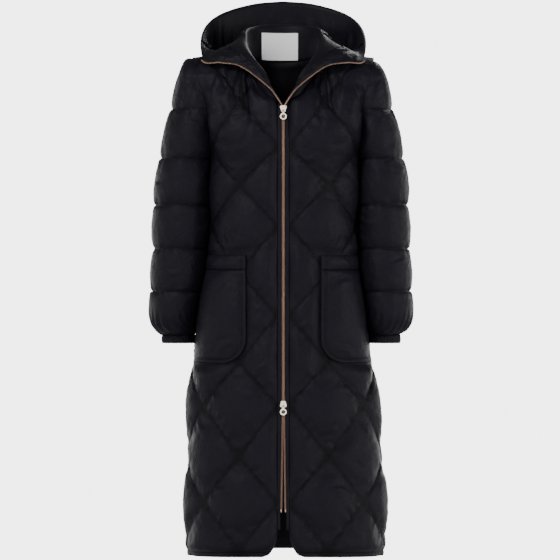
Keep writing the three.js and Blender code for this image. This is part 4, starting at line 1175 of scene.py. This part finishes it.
def facing_creases(turn, along, base):
    """Wrinkles across the turned facings."""
    wide = 1 - 2.6 * np.abs(noise(base, (0.030, 0.018, 0.018), 11))
    fine = 1 - 2.6 * np.abs(noise(base, 0.012, 12))
    fade = np.clip((EDGE - along) / 0.4, 0, 1)
    return FACING_CREASE * fade * (wide.clip(0) + 0.5 * fine.clip(0))


def still_creases(turn, along, base):
    """Faint unevenness of cloth that lies flat."""
    return STILL_CREASE * (1 + noise(base, 0.02, 21)) * np.clip((CREST - along) / 0.1, 0, 1)


def hood_linings(material):
    """The hood's lining, the neck facing, and each side's collar lining and facing."""
    def turns(start, end):
        return np.linspace(start + 0.0015, end - 0.0015, int(round((end - start) / 0.01)) + 1)
    fine = 0.045
    def path(start, end):
        return np.linspace(start, end, int(round((end - start) / fine)) + 1)
    hood_inside("hood_lining_cloth", "hood_lining", turns(-SIDE_TURN, SIDE_TURN), path(CREST, EDGE),
                material, lining_creases)
    hood_inside("neck_facing_cloth", "neck_facing", turns(-SIDE_TURN, SIDE_TURN),
                path(0.08, CREST - 0.01), material, still_creases)
    for name, side in SIDES.items():
        ends = sorted((side * SIDE_TURN, side * (1 - TURN_STEP)))
        hood_inside(f"collar_lining_{name}_cloth", f"collar_lining_{name}", turns(*ends),
                    path(0.12, FACING_FROM - 0.08), material, still_creases)
        hood_inside(f"facing_{name}_cloth", f"facing_{name}", turns(*ends),
                    path(FACING_FROM, EDGE), material, facing_creases)


def back_lining(halves, material):
    """The plain lining inside the back, seen at the neck and in the hem's gap."""
    left, right = halves
    rows = slice(2, None, 2)
    def thinned(half):
        share = np.linspace(0, 1, 25)
        points = []
        for j in range(len(half["points"]))[rows]:
            row = half["points"][j][:half["last"][j] + 1]
            at = share * (len(row) - 1) * 0.965
            points.append(between(at, np.arange(len(row)), row))
        return np.array(points)
    grid = np.concatenate([thinned(left)[:, :0:-1], thinned(right)], axis=1)
    loose = (1 - smooth((grid[..., 2] + 0.080) / 0.062)).ravel()
    grid[..., 0] *= mix(0.98, 0.95, smooth((grid[..., 2] - UNDERARM + 0.12) / 0.12))
    points = grid.reshape(-1, 3) - np.stack([0 * loose, 0.0055 * loose, 0 * loose + 0.0008], -1)
    ids = numbered(grid.shape[:2])
    out = vertex_normals(points, knit(ids))
    if out[:, 1].sum() < 0:
        out = -out
    drape = noise(points, (0.05, 1, 0.35), 31) + 0.4 * noise(points, (0.02, 1, 0.12), 32)
    points = points - out * (0.0012 + loose * (0.002 + 0.003 * drape))[:, None]
    flat = points[:, [0, 2]]
    obj = thin_cloth("lining_back_cloth", ids, points, out, LINING_THICK, flat, material)
    declare(obj, "root", "inside", "lining_back")


def label(material):
    """A bare woven label with turned ends, on the neck facing."""
    x = np.linspace(LABEL_MIDDLE - LABEL_WIDTH / 2, LABEL_MIDDLE + LABEL_WIDTH / 2, 45)
    z = np.linspace(LABEL_BOTTOM, LABEL_TOP, 33)
    grid_x, grid_z = (a.ravel() for a in np.meshgrid(x, z))
    turn, along = np.zeros(len(grid_x)), np.ones(len(grid_x))
    for _ in range(24):
        p = hood_at(turn, along)
        turn = turn + (grid_x - p[:, 0]) / 0.320
        along = np.clip(along + (grid_z - p[:, 2]) / 0.050, 0.05, CREST - 0.05)
    out = hood_out(turn, along)
    across = np.abs(grid_x - LABEL_MIDDLE) / (LABEL_WIDTH / 2)
    stand = 0.0024 + 0.0009 * (1 - across ** 6) + 0.0004 * noise(hood_at(turn, along), 0.03, 41)
    points = hood_at(turn, along) - out * stand[:, None]
    flat = np.stack([grid_x, grid_z], -1)
    ids = numbered((len(z), len(x)))
    obj = thin_cloth("label_cloth", ids, points, out, LABEL_THICK, flat, material)
    declare(obj, "root", "label", "label")


# Patch pockets
def pocket_edge(z):
    """Where the pocket's inner edge lies, rounded at the lower corner, and how far into the corner."""
    corner = np.clip((POCKET_BOTTOM + POCKET_CORNER - z) / POCKET_CORNER, 0, 1)
    return POCKET_EDGE + POCKET_CORNER * (1 - np.sqrt(1 - 0.98 * corner ** 2)), corner


def pocket_rise(flat):
    """Pressed down under the double row of stitches that follows the edge, full elsewhere."""
    s, z = flat[:, 0], flat[:, 1]
    edge, corner = pocket_edge(z)
    slope = np.where(corner > 0, np.sqrt(1 - 0.96 * corner ** 2), 1)
    inward = np.minimum((s - edge) * slope, z - POCKET_BOTTOM)
    return LINE_WIDTH * (1 - 0.94 * np.exp(-((inward - 0.0085) / 0.0026) ** 2))


def pocket_cloth(name, side, low, high, loft):
    """A pocket or its band, resting on the front."""
    rows, columns = int(round((high - low) / 0.0055)) + 1, 25
    base, flat, ids = [], [], numbered((rows, columns))
    for z in np.linspace(low, high, rows):
        length = body_length(side, -1, z) - 0.002
        s = np.linspace(pocket_edge(z)[0], length, columns)
        p = body_points(side, -1, s, z)
        step = body_points(side, -1, s - 0.001, z) - body_points(side, -1, s + 0.001, z)
        away = unit(np.stack([step[:, 1], -step[:, 0], np.zeros(columns)], -1))
        away *= np.where(away[:, 1:2] > 0, -1, 1)
        rest = mix(POCKET_REST, POCKET_SIDE_REST, np.clip((s - length + 0.060) / 0.050, 0, 1))
        base.append(p + away * rest[:, None])
        flat.append(np.stack([s, np.full(columns, z)], -1))
    base, flat = np.concatenate(base), np.concatenate(flat)
    j, i = np.divmod(np.arange(rows * columns), columns)
    across, up = i / (columns - 1), j / (rows - 1)
    lengths = np.array([body_length(side, -1, z) for z in flat[:, 1]])
    room = np.clip((lengths - 0.022 - flat[:, 0]) / 0.070, 0.08, 1)
    c = Cloth(name, knit(ids), base, flat, room, (side * 0.5, -1, 0))
    c.rise_of, c.puckers = pocket_rise, no_puckers
    dome = np.sin(math.pi * across) * np.sin(math.pi * up)
    full = np.clip((lengths - 0.010 - flat[:, 0]) / 0.030, 0, 1)
    fill_out(c, np.maximum(dome, 0.06), loft, POCKET_PRESSURE, still=0.0, thick=0.0062, full=full)
    c.cap = loft * c.room * 1.1 + 0.004
    return c


# The zip
def front_y(z):
    """How far forward the body's middle lies."""
    return -(read(BODY, FRONT, z) - LOFT)


def neck_y(z):
    """The same up to the neck, where the middle runs back to the collar."""
    t = np.clip((z - UNDERARM) / (-NECK_FRONT_DROP - UNDERARM), 0, 1)
    return np.where(z < UNDERARM, front_y(z), mix(front_y(UNDERARM), -NECK_FRONT, t ** 1.7))


def slit(z):
    """Half the zip's opening below the lower slider."""
    return ZIP_SLIT * np.clip((ZIP_LOWER - z) / (ZIP_LOWER - ZIP_BOTTOM), 0, 1)


def zip_path(side, step=0.002):
    """The seam line of one side of the zip: places, ways across onto its tape, and ways out."""
    z = np.arange(ZIP_BOTTOM, ZIP_UPPER, step)
    places = np.stack([side * (SEAM / 2 + slit(z)), neck_y(z) - ZIP_UNDER, z], -1)
    across = np.tile([side, 0.0, 0.0], (len(z), 1))
    out = np.tile([0.0, -1.0, 0.0], (len(z), 1))
    turn = side * np.linspace(1, 1 - 7 * TURN_STEP, 110)
    at_edge = np.full(len(turn), EDGE)
    edge = hood_at(turn, at_edge)
    back = unit(hood_at(turn, at_edge - 0.1) - edge)
    away = hood_out(turn, at_edge)
    turned = edge - back * (ZIP_HALF + 4.6 * SEAM) - away * 0.001
    return np.concatenate([places, turned]), np.concatenate([across, back]), np.concatenate([out, away])


def along_path(places, others, pitch, offset=0.0):
    """Even places along a path, with each other array read at them, and the path's direction."""
    length = run_lengths(places)
    at = np.arange(offset, length[-1], pitch)
    before, after = (between(at + step, length, places) for step in (-pitch / 2, pitch / 2))
    others = [unit(between(at, length, values)) for values in others]
    return between(at, length, places), unit(after - before), others


def ribbon(name, places, across, out, start, width, under, thick, material, rise=None):
    """A narrow strip beside a path, from start to start + width across it."""
    columns = max(3, int(round(width / RIBBON_CELL)) + 1)
    share = np.linspace(0, 1, columns)
    points, flats = [], []
    length = run_lengths(places)
    for part in share:
        lift = under if rise is None else under + rise(part, length)
        points.append(places + across * (start + width * part) + out * np.reshape(lift, (-1, 1)))
        flats.append(np.stack([np.full(len(places), width * part), length], -1))
    grid, flat = np.array(points), np.array(flats)
    ids = numbered(grid.shape[:2])
    outs = np.tile(out, (columns, 1))
    return thin_cloth(name, ids, grid.reshape(-1, 3), outs, thick, flat.reshape(-1, 2), material)


# Small solids repeated at places
def copies_tree(name, solid):
    """A Geometry Nodes tree that sets one solid at each point, by its along and up directions."""
    tree = bpy.data.node_groups.new(name, "GeometryNodeTree")
    for title, kind in (
        ("Places", "Geometry"), ("Length", "Float"), ("Width", "Float"), ("Height", "Float"),
        ("Finish", "Material"),
    ):
        tree.interface.new_socket(title, in_out="INPUT", socket_type="NodeSocket" + kind)
    tree.interface.new_socket("Copies", in_out="OUTPUT", socket_type="NodeSocketGeometry")
    given = added(tree, "NodeGroupInput").outputs
    if solid == "bar":
        upright = added(tree, "GeometryNodeMeshCylinder", {"Vertices": 8, "Radius": 0.5, "Depth": 1.0})
        lying = {"Geometry": upright.outputs["Mesh"], "Rotation": (math.pi / 2, 0, 0)}
        source = added(tree, "GeometryNodeTransform", lying).outputs["Geometry"]
    else:
        ball = added(tree, "GeometryNodeMeshIcoSphere", {"Radius": 0.5, "Subdivisions": 1})
        source = ball.outputs["Mesh"]
    size = added(tree, "ShaderNodeCombineXYZ", {
        "X": given["Length"], "Y": given["Width"], "Z": given["Height"],
    })
    shape = added(tree, "GeometryNodeTransform", {"Geometry": source, "Scale": size.outputs["Vector"]})
    along, up = (
        added(tree, "GeometryNodeInputNamedAttribute", {"Name": title}, data_type="FLOAT_VECTOR")
        for title in ("along", "up")
    )
    turn = added(tree, "FunctionNodeAxesToRotation", {
        "Primary Axis": along.outputs["Attribute"], "Secondary Axis": up.outputs["Attribute"],
    }, primary_axis="X", secondary_axis="Z")
    points = added(tree, "GeometryNodeInstanceOnPoints", {
        "Points": given["Places"], "Instance": shape.outputs["Geometry"],
        "Rotation": turn.outputs["Rotation"],
    })
    real = added(tree, "GeometryNodeRealizeInstances", {"Geometry": points.outputs["Instances"]})
    soft = added(tree, "GeometryNodeSetShadeSmooth", {"Geometry": real.outputs["Geometry"]})
    finish = added(tree, "GeometryNodeSetMaterial", {
        "Geometry": soft.outputs["Geometry"], "Material": given["Finish"],
    })
    added(tree, "NodeGroupOutput", {"Copies": finish.outputs["Geometry"]})
    return tree


def copies(name, tree, places, along, up, size, material):
    """Solids of one size at the given places, as one plain mesh."""
    mesh = bpy.data.meshes.new(name + "_places")
    mesh.from_pydata(places.tolist(), [], [])
    for title, values in (("along", along), ("up", up)):
        layer = mesh.attributes.new(title, "FLOAT_VECTOR", "POINT")
        layer.data.foreach_set("vector", np.ascontiguousarray(values, dtype=float).ravel())
    holder = linked(name + "_places", mesh)
    modifier = holder.modifiers.new("Copies", "NODES")
    modifier.node_group = tree
    values = dict(zip(("Length", "Width", "Height"), size), Finish=material)
    for item in tree.interface.items_tree:
        if item.item_type == "SOCKET" and item.in_out == "INPUT" and item.name in values:
            modifier[item.identifier] = values[item.name]
    graph = bpy.context.evaluated_depsgraph_get()
    made = bpy.data.meshes.new_from_object(holder.evaluated_get(graph))
    made.name = name
    bpy.data.objects.remove(holder)
    bpy.data.meshes.remove(mesh)
    made.materials.clear()
    made.materials.append(material)
    return linked(name, made)


# Sewing
def resampled(line, pitch):
    """Even places along a flat line."""
    line = np.asarray(line, float)
    length = run_lengths(line)
    if length[-1] < pitch:
        return np.empty((0, 2))
    return between(np.arange(pitch / 2, length[-1], pitch), length, line)


def stitches(name, cloth, lines, tree, material, reach=0.006):
    """Stitches along lines of a finished cloth's flat places."""
    fine = cloth.fine
    near_points = nearest([(s, z, 0) for s, z in fine["flat"]])
    places, alongs, ups = [], [], []
    for line in lines:
        spots, ways = [], []
        for s, z in resampled(line, STITCH_PITCH):
            found = near_points.find_n((s, z, 0), 4)
            if found[0][2] > reach:
                spots.append(None)
                ways.append(None)
                continue
            weights = np.array([1 / (distance + 0.0004) for _, _, distance in found])
            weights /= weights.sum()
            near = [index for _, index, _ in found]
            spots.append(weights @ fine["points"][near])
            ways.append(weights @ fine["out"][near])
        for k in range(len(spots) - 1):
            if spots[k] is None or spots[k + 1] is None:
                continue
            places.append((spots[k] + spots[k + 1]) / 2 + ways[k] * STITCH_OFF)
            alongs.append(spots[k + 1] - spots[k])
            ups.append(ways[k])
    size = (STITCH_PITCH * 0.78, STITCH_WIDTH, STITCH_HEIGHT)
    along, up = unit(np.array(alongs)), unit(np.array(ups))
    declare(copies(name, tree, np.array(places), along, up, size, material), "root", "shell")


def quilt_lines(first, widest, low, high):
    """Both families of diamond stitch lines, as flat places."""
    rows = np.linspace(0, len(CROSSINGS) - 1, 12 * (len(CROSSINGS) - 1) + 1)
    z = np.interp(rows, np.arange(len(CROSSINGS)), CROSSINGS)
    reach = int(widest / DIAMOND) + len(CROSSINGS) + 2
    lines = []
    for sign in (-1, 1):
        for number in range(-2 * reach - 1, 2 * reach, 2):
            s = first + (number + sign * rows) * DIAMOND
            inside = (s >= low) & (s <= high)
            if inside.sum() > 3:
                lines.append(np.stack([s[inside], z[inside]], -1))
    return lines


def sew_front(name, cloth, tree, thread):
    """A front's diamonds, except under the pocket, its hem and its edge."""
    lines = quilt_lines(PANEL_EDGE, 0.30, PANEL_EDGE + 0.004, 0.32)
    kept = []
    for line in lines:
        dense = between(np.linspace(0, 1, 400), np.linspace(0, 1, len(line)), line)
        shown = under_pocket(dense, True) < 0.5
        runs = np.flatnonzero(np.diff(np.concatenate([[0], shown.astype(int), [0]])))
        kept += [dense[a:b] for a, b in zip(runs[::2], runs[1::2]) if b - a > 4]
    s = np.linspace(front_edge(HEM_STITCH), 0.31, 80)
    kept.append(np.stack([s, np.full(80, HEM_STITCH)], -1))
    z = np.linspace(PLACKET_BOTTOM, -0.13, 200)
    kept.append(np.stack([np.full(200, PANEL_EDGE + 0.0025), z], -1))
    stitches(f"stitches_front_{name}", cloth, kept, tree, thread)


def sew_sleeve(name, cloth, tree, thread):
    """The lines between a sleeve's channels."""
    lines = [np.stack([np.linspace(-0.26, 0.26, 160), np.full(160, z)], -1) for z in CHANNELS[1:-1]]
    stitches(f"stitches_sleeve_{name}", cloth, lines, tree, thread, reach=0.005)


def sew_pocket(name, cloth, low, high, tree, thread):
    """Two rows round a pocket and one along its top."""
    lines = []
    for inset in (0.003, 0.009):
        z = np.linspace(low + inset, high - 0.003, 90)
        start = pocket_edge(z)[0] + inset
        bottom = np.stack([np.linspace(0.30, start[0], 60), np.full(60, low + inset)], -1)
        edge = np.stack([start, z], -1)
        lines.append(np.concatenate([bottom, edge]) if low < POCKET_BOTTOM + 0.01 else edge)
    s = np.linspace(POCKET_EDGE + 0.004, 0.30, 80)
    lines.append(np.stack([s, np.full(80, high - 0.003)], -1))
    stitches(name, cloth, lines, tree, thread)


def zip_side(name, bar, stitch, metal, tape, shell, thread):
    """Teeth, tape and placket on one side of the zip."""
    side = SIDES[name]
    places, across, out = zip_path(side)
    offset = 0.0 if side < 0 else TOOTH_PITCH / 2
    spots, _, (ways, ups) = along_path(places, (across, out), TOOTH_PITCH, offset)
    middles = spots + ways * TOOTH_MIDDLE + ups * (ZIP_HIGH / 2)
    teeth = copies(f"teeth_{name}", bar, middles, unit(np.cross(ways, ups)), ups,
                   TOOTH_SIZE, metal)
    declare(teeth, "root", "teeth", f"zip_teeth_{name}")
    strip = ribbon(f"zip_tape_{name}", places, across, out, 0.0016, ZIP_TAPE_CUT[0], 0.0006,
                   TAPE_THICK, tape)
    declare(strip, "root", "shell")
    z = np.arange(PLACKET_BOTTOM, PLACKET_TOP, 0.003)
    line = np.stack([side * (ZIP_HALF + 2 * SEAM + slit(z)), neck_y(z), z], -1)
    far = np.stack([np.full(len(z), side * (PANEL_EDGE - SEAM)), neck_y(z), z], -1)
    width = (far - line)[:, 0] * side
    sideways = np.stack([side * width / width[0], np.zeros(len(z)), np.zeros(len(z))], -1)
    forward = np.tile([0.0, -1.0, 0.0], (len(z), 1))
    def soft(part, length):
        ripple = 0.0004 * noise(np.stack([length, length * 0 + side, length * 0], -1), 0.012, 51)
        return (0.0012 + ripple) * math.sin(math.pi * min(1, part * 1.15)) ** 0.6
    placket = ribbon(f"placket_{name}_cloth", line, sideways, forward, 0, width[0], 0.0031,
                     PLACKET_THICK, shell, rise=soft)
    declare(placket, "root", "shell", f"placket_{name}")
    for number, part in enumerate((0.12, 0.88)):
        seam = line + sideways * (width[0] * part) + forward * 0.0042
        spots, ahead, (ups,) = along_path(seam, (forward,), STITCH_PITCH)
        row = copies(f"stitches_placket_{name}_{number}", stitch, spots, ahead, ups,
                     (STITCH_PITCH * 0.75, STITCH_WIDTH, STITCH_HEIGHT), thread)
        declare(row, "root", "shell")


# Finishes
# Cloths: dark tone, light tone, roughness, thread spacing, size and depth of the creases, depth of
# the threads, sheen, specular level
CLOTHS = {
    "shell": (
        (0.0046, 0.0039, 0.0064), (0.0070, 0.0061, 0.0096), 0.5, 0.0006, 0.013, 0.0012, 0.00005, 0, 0.06,
    ),
    "inside": (
        (0.0040, 0.0035, 0.0056), (0.0062, 0.0055, 0.0084), 0.5, 0.0005, 0.016, 0.0009, 0.00004, 0, 0.06,
    ),
    "label": ((0.60, 0.60, 0.60), (0.70, 0.70, 0.70), 0.75, 0.0007, 0.03, 0.0003, 0.00012, 0.05, 0.3),
    "tape": (
        (0.004, 0.004, 0.0045), (0.007, 0.007, 0.0075), 0.75, 0.0008, 0.02, 0.0002, 0.00015, 0, 0.2,
    ),
    "thread": (
        (0.006, 0.006, 0.007), (0.010, 0.010, 0.0115), 0.55, 0.0003, 0.01, 0.0001, 0.00004, 0, 0.3,
    ),
    "cord": (
        (0.0018, 0.0018, 0.002), (0.0032, 0.0032, 0.0035), 0.85, 0.0011, 0.01, 0.0003, 0.0003, 0, 0.05,
    ),
}
# Metals: tone, roughness, size and depth of the rubbed marks
METALS = {
    "copper": ((0.36, 0.23, 0.175), 0.46, 0.004, 0.0001),
    "champagne": ((0.74, 0.69, 0.58), 0.3, 0.012, 0.00005),
}


def shader_group(name, inputs, outputs):
    """An empty shader group with its sockets."""
    tree = bpy.data.node_groups.new(name, "ShaderNodeTree")
    for title, kind, value in inputs:
        socket = tree.interface.new_socket(title, in_out="INPUT", socket_type=kind)
        if value is not None:
            socket.default_value = value
    for title, kind in outputs:
        tree.interface.new_socket(title, in_out="OUTPUT", socket_type=kind)
    return tree, tree.nodes.new("NodeGroupInput"), tree.nodes.new("NodeGroupOutput")


def maths(tree, kind, *values, clamp=False):
    """A Math node over values or other nodes' outputs."""
    node = tree.nodes.new("ShaderNodeMath")
    node.operation, node.use_clamp = kind, clamp
    for socket, value in zip(node.inputs, values):
        if isinstance(value, (int, float)):
            socket.default_value = value
        else:
            tree.links.new(value, socket)
    return node.outputs[0]


def weave_group():
    """Threads over and under each other, as a height from 0 to 1."""
    tree, given, made = shader_group(
        "weave",
        [("Place", "NodeSocketVector", None), ("Spacing", "NodeSocketFloat", 0.0006)],
        [("Height", "NodeSocketFloat")],
    )
    scaled = added(tree, "ShaderNodeVectorMath", {
        "Vector": given.outputs["Place"],
        "Scale": maths(tree, "DIVIDE", 2 * math.pi, given.outputs["Spacing"]),
    }, operation="SCALE")
    split = added(tree, "ShaderNodeSeparateXYZ", {"Vector": scaled.outputs["Vector"]})
    waves = [maths(tree, "SINE", split.outputs[axis]) for axis in "XY"]
    both = maths(tree, "MULTIPLY", *waves)
    tree.links.new(maths(tree, "MULTIPLY_ADD", both, 0.5, 0.5), made.inputs["Height"])
    return tree


def crinkle_group():
    """Small sharp creases and soft dents of thin coated cloth."""
    tree, given, made = shader_group(
        "crinkle",
        [("Place", "NodeSocketVector", None), ("Size", "NodeSocketFloat", 0.02)],
        [("Height", "NodeSocketFloat"), ("Patches", "NodeSocketFloat")],
    )
    density = maths(tree, "DIVIDE", 1.0, given.outputs["Size"])
    def cloud(factor, detail, distortion):
        node = added(tree, "ShaderNodeTexNoise", {
            "Detail": detail, "Distortion": distortion, "Vector": given.outputs["Place"],
            "Scale": maths(tree, "MULTIPLY", density, factor),
        })
        return node.outputs[0]
    ridge = maths(tree, "ABSOLUTE", maths(tree, "SUBTRACT", cloud(1.0, 3.0, 0.9), 0.5))
    sharp = maths(tree, "SUBTRACT", 1.0, maths(tree, "MULTIPLY", ridge, 5.0, clamp=True))
    total = maths(tree, "MULTIPLY_ADD", sharp, 0.45, cloud(2.3, 4.0, 0.2))
    tree.links.new(total, made.inputs["Height"])
    tree.links.new(cloud(0.35, 2.0, 0.0), made.inputs["Patches"])
    return tree


def cloth_finish(name, weave, crinkle):
    """A woven cloth: two tones in soft patches, creases, threads that follow its cut, and painted shade
    that darkens its colour along the stitch lines.
    """
    dark, light, rough, spacing, size, depth, thread_depth, sheen, specular = CLOTHS[name]
    mat, tree, shader = new_material(name)
    place = added(tree, "ShaderNodeTexCoord").outputs
    creases = added(tree, "ShaderNodeGroup", {"Size": size, "Place": place["Object"]}, node_tree=crinkle)
    threads = added(tree, "ShaderNodeGroup", {"Spacing": spacing, "Place": place["UV"]}, node_tree=weave)
    patches = creases.outputs["Patches"]
    tones = added(tree, "ShaderNodeMix", {
        "A": (*dark, 1), "B": (*light, 1), "Factor": patches,
    }, data_type="RGBA")
    # Painted shade: along the stitch lines, the colour in the mix named pressed is darkened towards 0.15
    # of the dark tone, standing in for the shadow in the stitch creases.
    line = added(tree, "ShaderNodeAttribute", attribute_name="line").outputs["Fac"]
    pressed = added(tree, "ShaderNodeMix", {
        "A": tones.outputs["Result"], "B": (*[0.15 * v for v in dark], 1),
        "Factor": maths(tree, "MULTIPLY", line, 0.9),
    }, data_type="RGBA")
    soft = added(tree, "ShaderNodeBump", {
        "Distance": depth, "Strength": 0.6, "Height": creases.outputs["Height"],
    })
    fine = added(tree, "ShaderNodeBump", {
        "Distance": thread_depth, "Strength": 0.5, "Height": threads.outputs["Height"],
        "Normal": soft.outputs["Normal"],
    })
    feed(tree, shader, {
        "Base Color": pressed.outputs["Result"],
        "Roughness": maths(tree, "MULTIPLY_ADD", patches, 0.16, rough - 0.08),
        "Sheen Weight": sheen, "Sheen Roughness": 0.4, "Specular IOR Level": specular,
        "Normal": fine.outputs["Normal"],
    })
    return mat


def metal_finish(name, crinkle):
    """Plated metal, lightly rubbed."""
    color, rough, size, depth = METALS[name]
    mat, tree, shader = new_material(name)
    place = added(tree, "ShaderNodeTexCoord").outputs["Object"]
    rubs = added(tree, "ShaderNodeGroup", {"Size": size, "Place": place}, node_tree=crinkle)
    tones = added(tree, "ShaderNodeMix", {
        "A": (*[v * 0.8 for v in color], 1), "B": (*color, 1), "Factor": rubs.outputs["Patches"],
    }, data_type="RGBA")
    bump = added(tree, "ShaderNodeBump", {
        "Distance": depth, "Strength": 0.4, "Height": rubs.outputs["Height"],
    })
    feed(tree, shader, {
        "Base Color": tones.outputs["Result"], "Metallic": 1, "Normal": bump.outputs["Normal"],
        "Roughness": maths(tree, "MULTIPLY_ADD", rubs.outputs["Height"], 0.2, rough - 0.1),
    })
    return mat


def finishes():
    """Every material by its name."""
    weave, crinkle = weave_group(), crinkle_group()
    made = {name: cloth_finish(name, weave, crinkle) for name in CLOTHS}
    made.update({name: metal_finish(name, crinkle) for name in METALS})
    return made


def drawcord(name, material):
    """A cord end that hangs from its eyelet, one smooth curve through the solid's own route."""
    route = np.array(CORD_ROUTES[name])
    padded_route = np.concatenate([[2 * route[0] - route[1]], route, [2 * route[-1] - route[-2]]])
    points = []
    for k in range(len(route) - 1):
        a, b, c, d = padded_route[k:k + 4]
        t1 = np.linalg.norm(b - a) ** 0.5
        t2 = t1 + np.linalg.norm(c - b) ** 0.5
        t3 = t2 + np.linalg.norm(d - c) ** 0.5
        for t in np.linspace(t1, t2, 5)[:-1]:
            part = (t - t1) / (t2 - t1)
            ab, bc, cd = mix(a, b, t / t1), mix(b, c, part), mix(c, d, (t - t2) / (t3 - t2))
            low, high = mix(ab, bc, t / t2), mix(bc, cd, (t - t1) / (t3 - t1))
            points.append(mix(low, high, part))
    points.append(route[-1])
    data = bpy.data.curves.new(f"cord_{name}", "CURVE")
    data.dimensions = "3D"
    data.bevel_depth = CORD_DIAMETER / 2
    data.bevel_resolution = 4
    data.use_fill_caps = True
    spline = data.splines.new("POLY")
    spline.points.add(len(points) - 1)
    for point, place in zip(spline.points, points):
        point.co = (*place, 1)
    data.materials.append(material)
    obj = linked(f"cord_{name}", data)
    declare(obj, "root", "cord", f"drawcord_{name}")


def show_pieces(finish):
    """Padded pieces first swell together, then each is finished, sewn and declared."""
    fronts = {name: front_cloth(name) for name in SIDES}
    back, halves = back_cloth()
    sleeves = {name: sleeve_cloth(name) for name in SIDES}
    hoods = {
        "hood_centre": hood_cloth("hood_centre", -GUSSET, GUSSET),
        "hood_left": hood_cloth("hood_left", -1, -GUSSET),
        "hood_right": hood_cloth("hood_right", GUSSET, 1),
    }
    seam = POCKET_TOP - POCKET_BAND
    pockets = {}
    for name, side in SIDES.items():
        for node, low, high, loft in (
            (f"pocket_{name}", POCKET_BOTTOM, seam - SEAM, POCKET_LOFT),
            (f"pocket_band_{name}", seam, POCKET_TOP, POCKET_BAND_LOFT),
        ):
            pockets[node] = pocket_cloth(node, side, low, high, loft)
    every = {
        **{f"front_{name}": c for name, c in fronts.items()}, "back": back,
        **{f"sleeve_{name}": c for name, c in sleeves.items()}, **hoods, **pockets,
    }
    moved = dict(zip(every, swell(list(every.values()))))
    for node, c in every.items():
        c.name = f"{node}_padded"
        scale = HOOD_FLAT if node.startswith("hood") else (1, 1)
        obj = padded_shell(c, moved[node], finish["shell"], scale)
        declare(obj, "root", "shell", node)
    bar, stitch = copies_tree("bars", "bar"), copies_tree("stitches", "bead")
    thread = finish["thread"]
    for name in SIDES:
        sew_front(name, fronts[name], stitch, thread)
        sew_sleeve(name, sleeves[name], stitch, thread)
        pocket = f"pocket_{name}"
        sew_pocket(f"stitches_{pocket}", pockets[pocket], POCKET_BOTTOM, seam, stitch, thread)
        zip_side(name, bar, stitch, finish["copper"], finish["tape"], finish["shell"], thread)
        cuff(name, finish["shell"])
    hem = np.stack([np.linspace(-0.31, 0.31, 200), np.full(200, HEM_STITCH)], -1)
    stitches("stitches_back", back, quilt_lines(0.0, 0.31, -0.32, 0.32) + [hem], stitch, thread)
    back_lining(halves, finish["inside"])
    hood_linings(finish["inside"])
    label(finish["label"])


camera()
finish = finishes()
for cord_name in SIDES:
    drawcord(cord_name, finish["cord"])
studio()
backdrop()
show_pieces(finish)
for look, nodes in {
    "champagne": "slider_upper slider_lower pull_upper pull_lower eyelet_left eyelet_right",
    "copper": "zip_stop_left zip_stop_right",
}.items():
    for node in nodes.split():
        for slot in bpy.data.objects[node].material_slots:
            slot.material = finish[look]
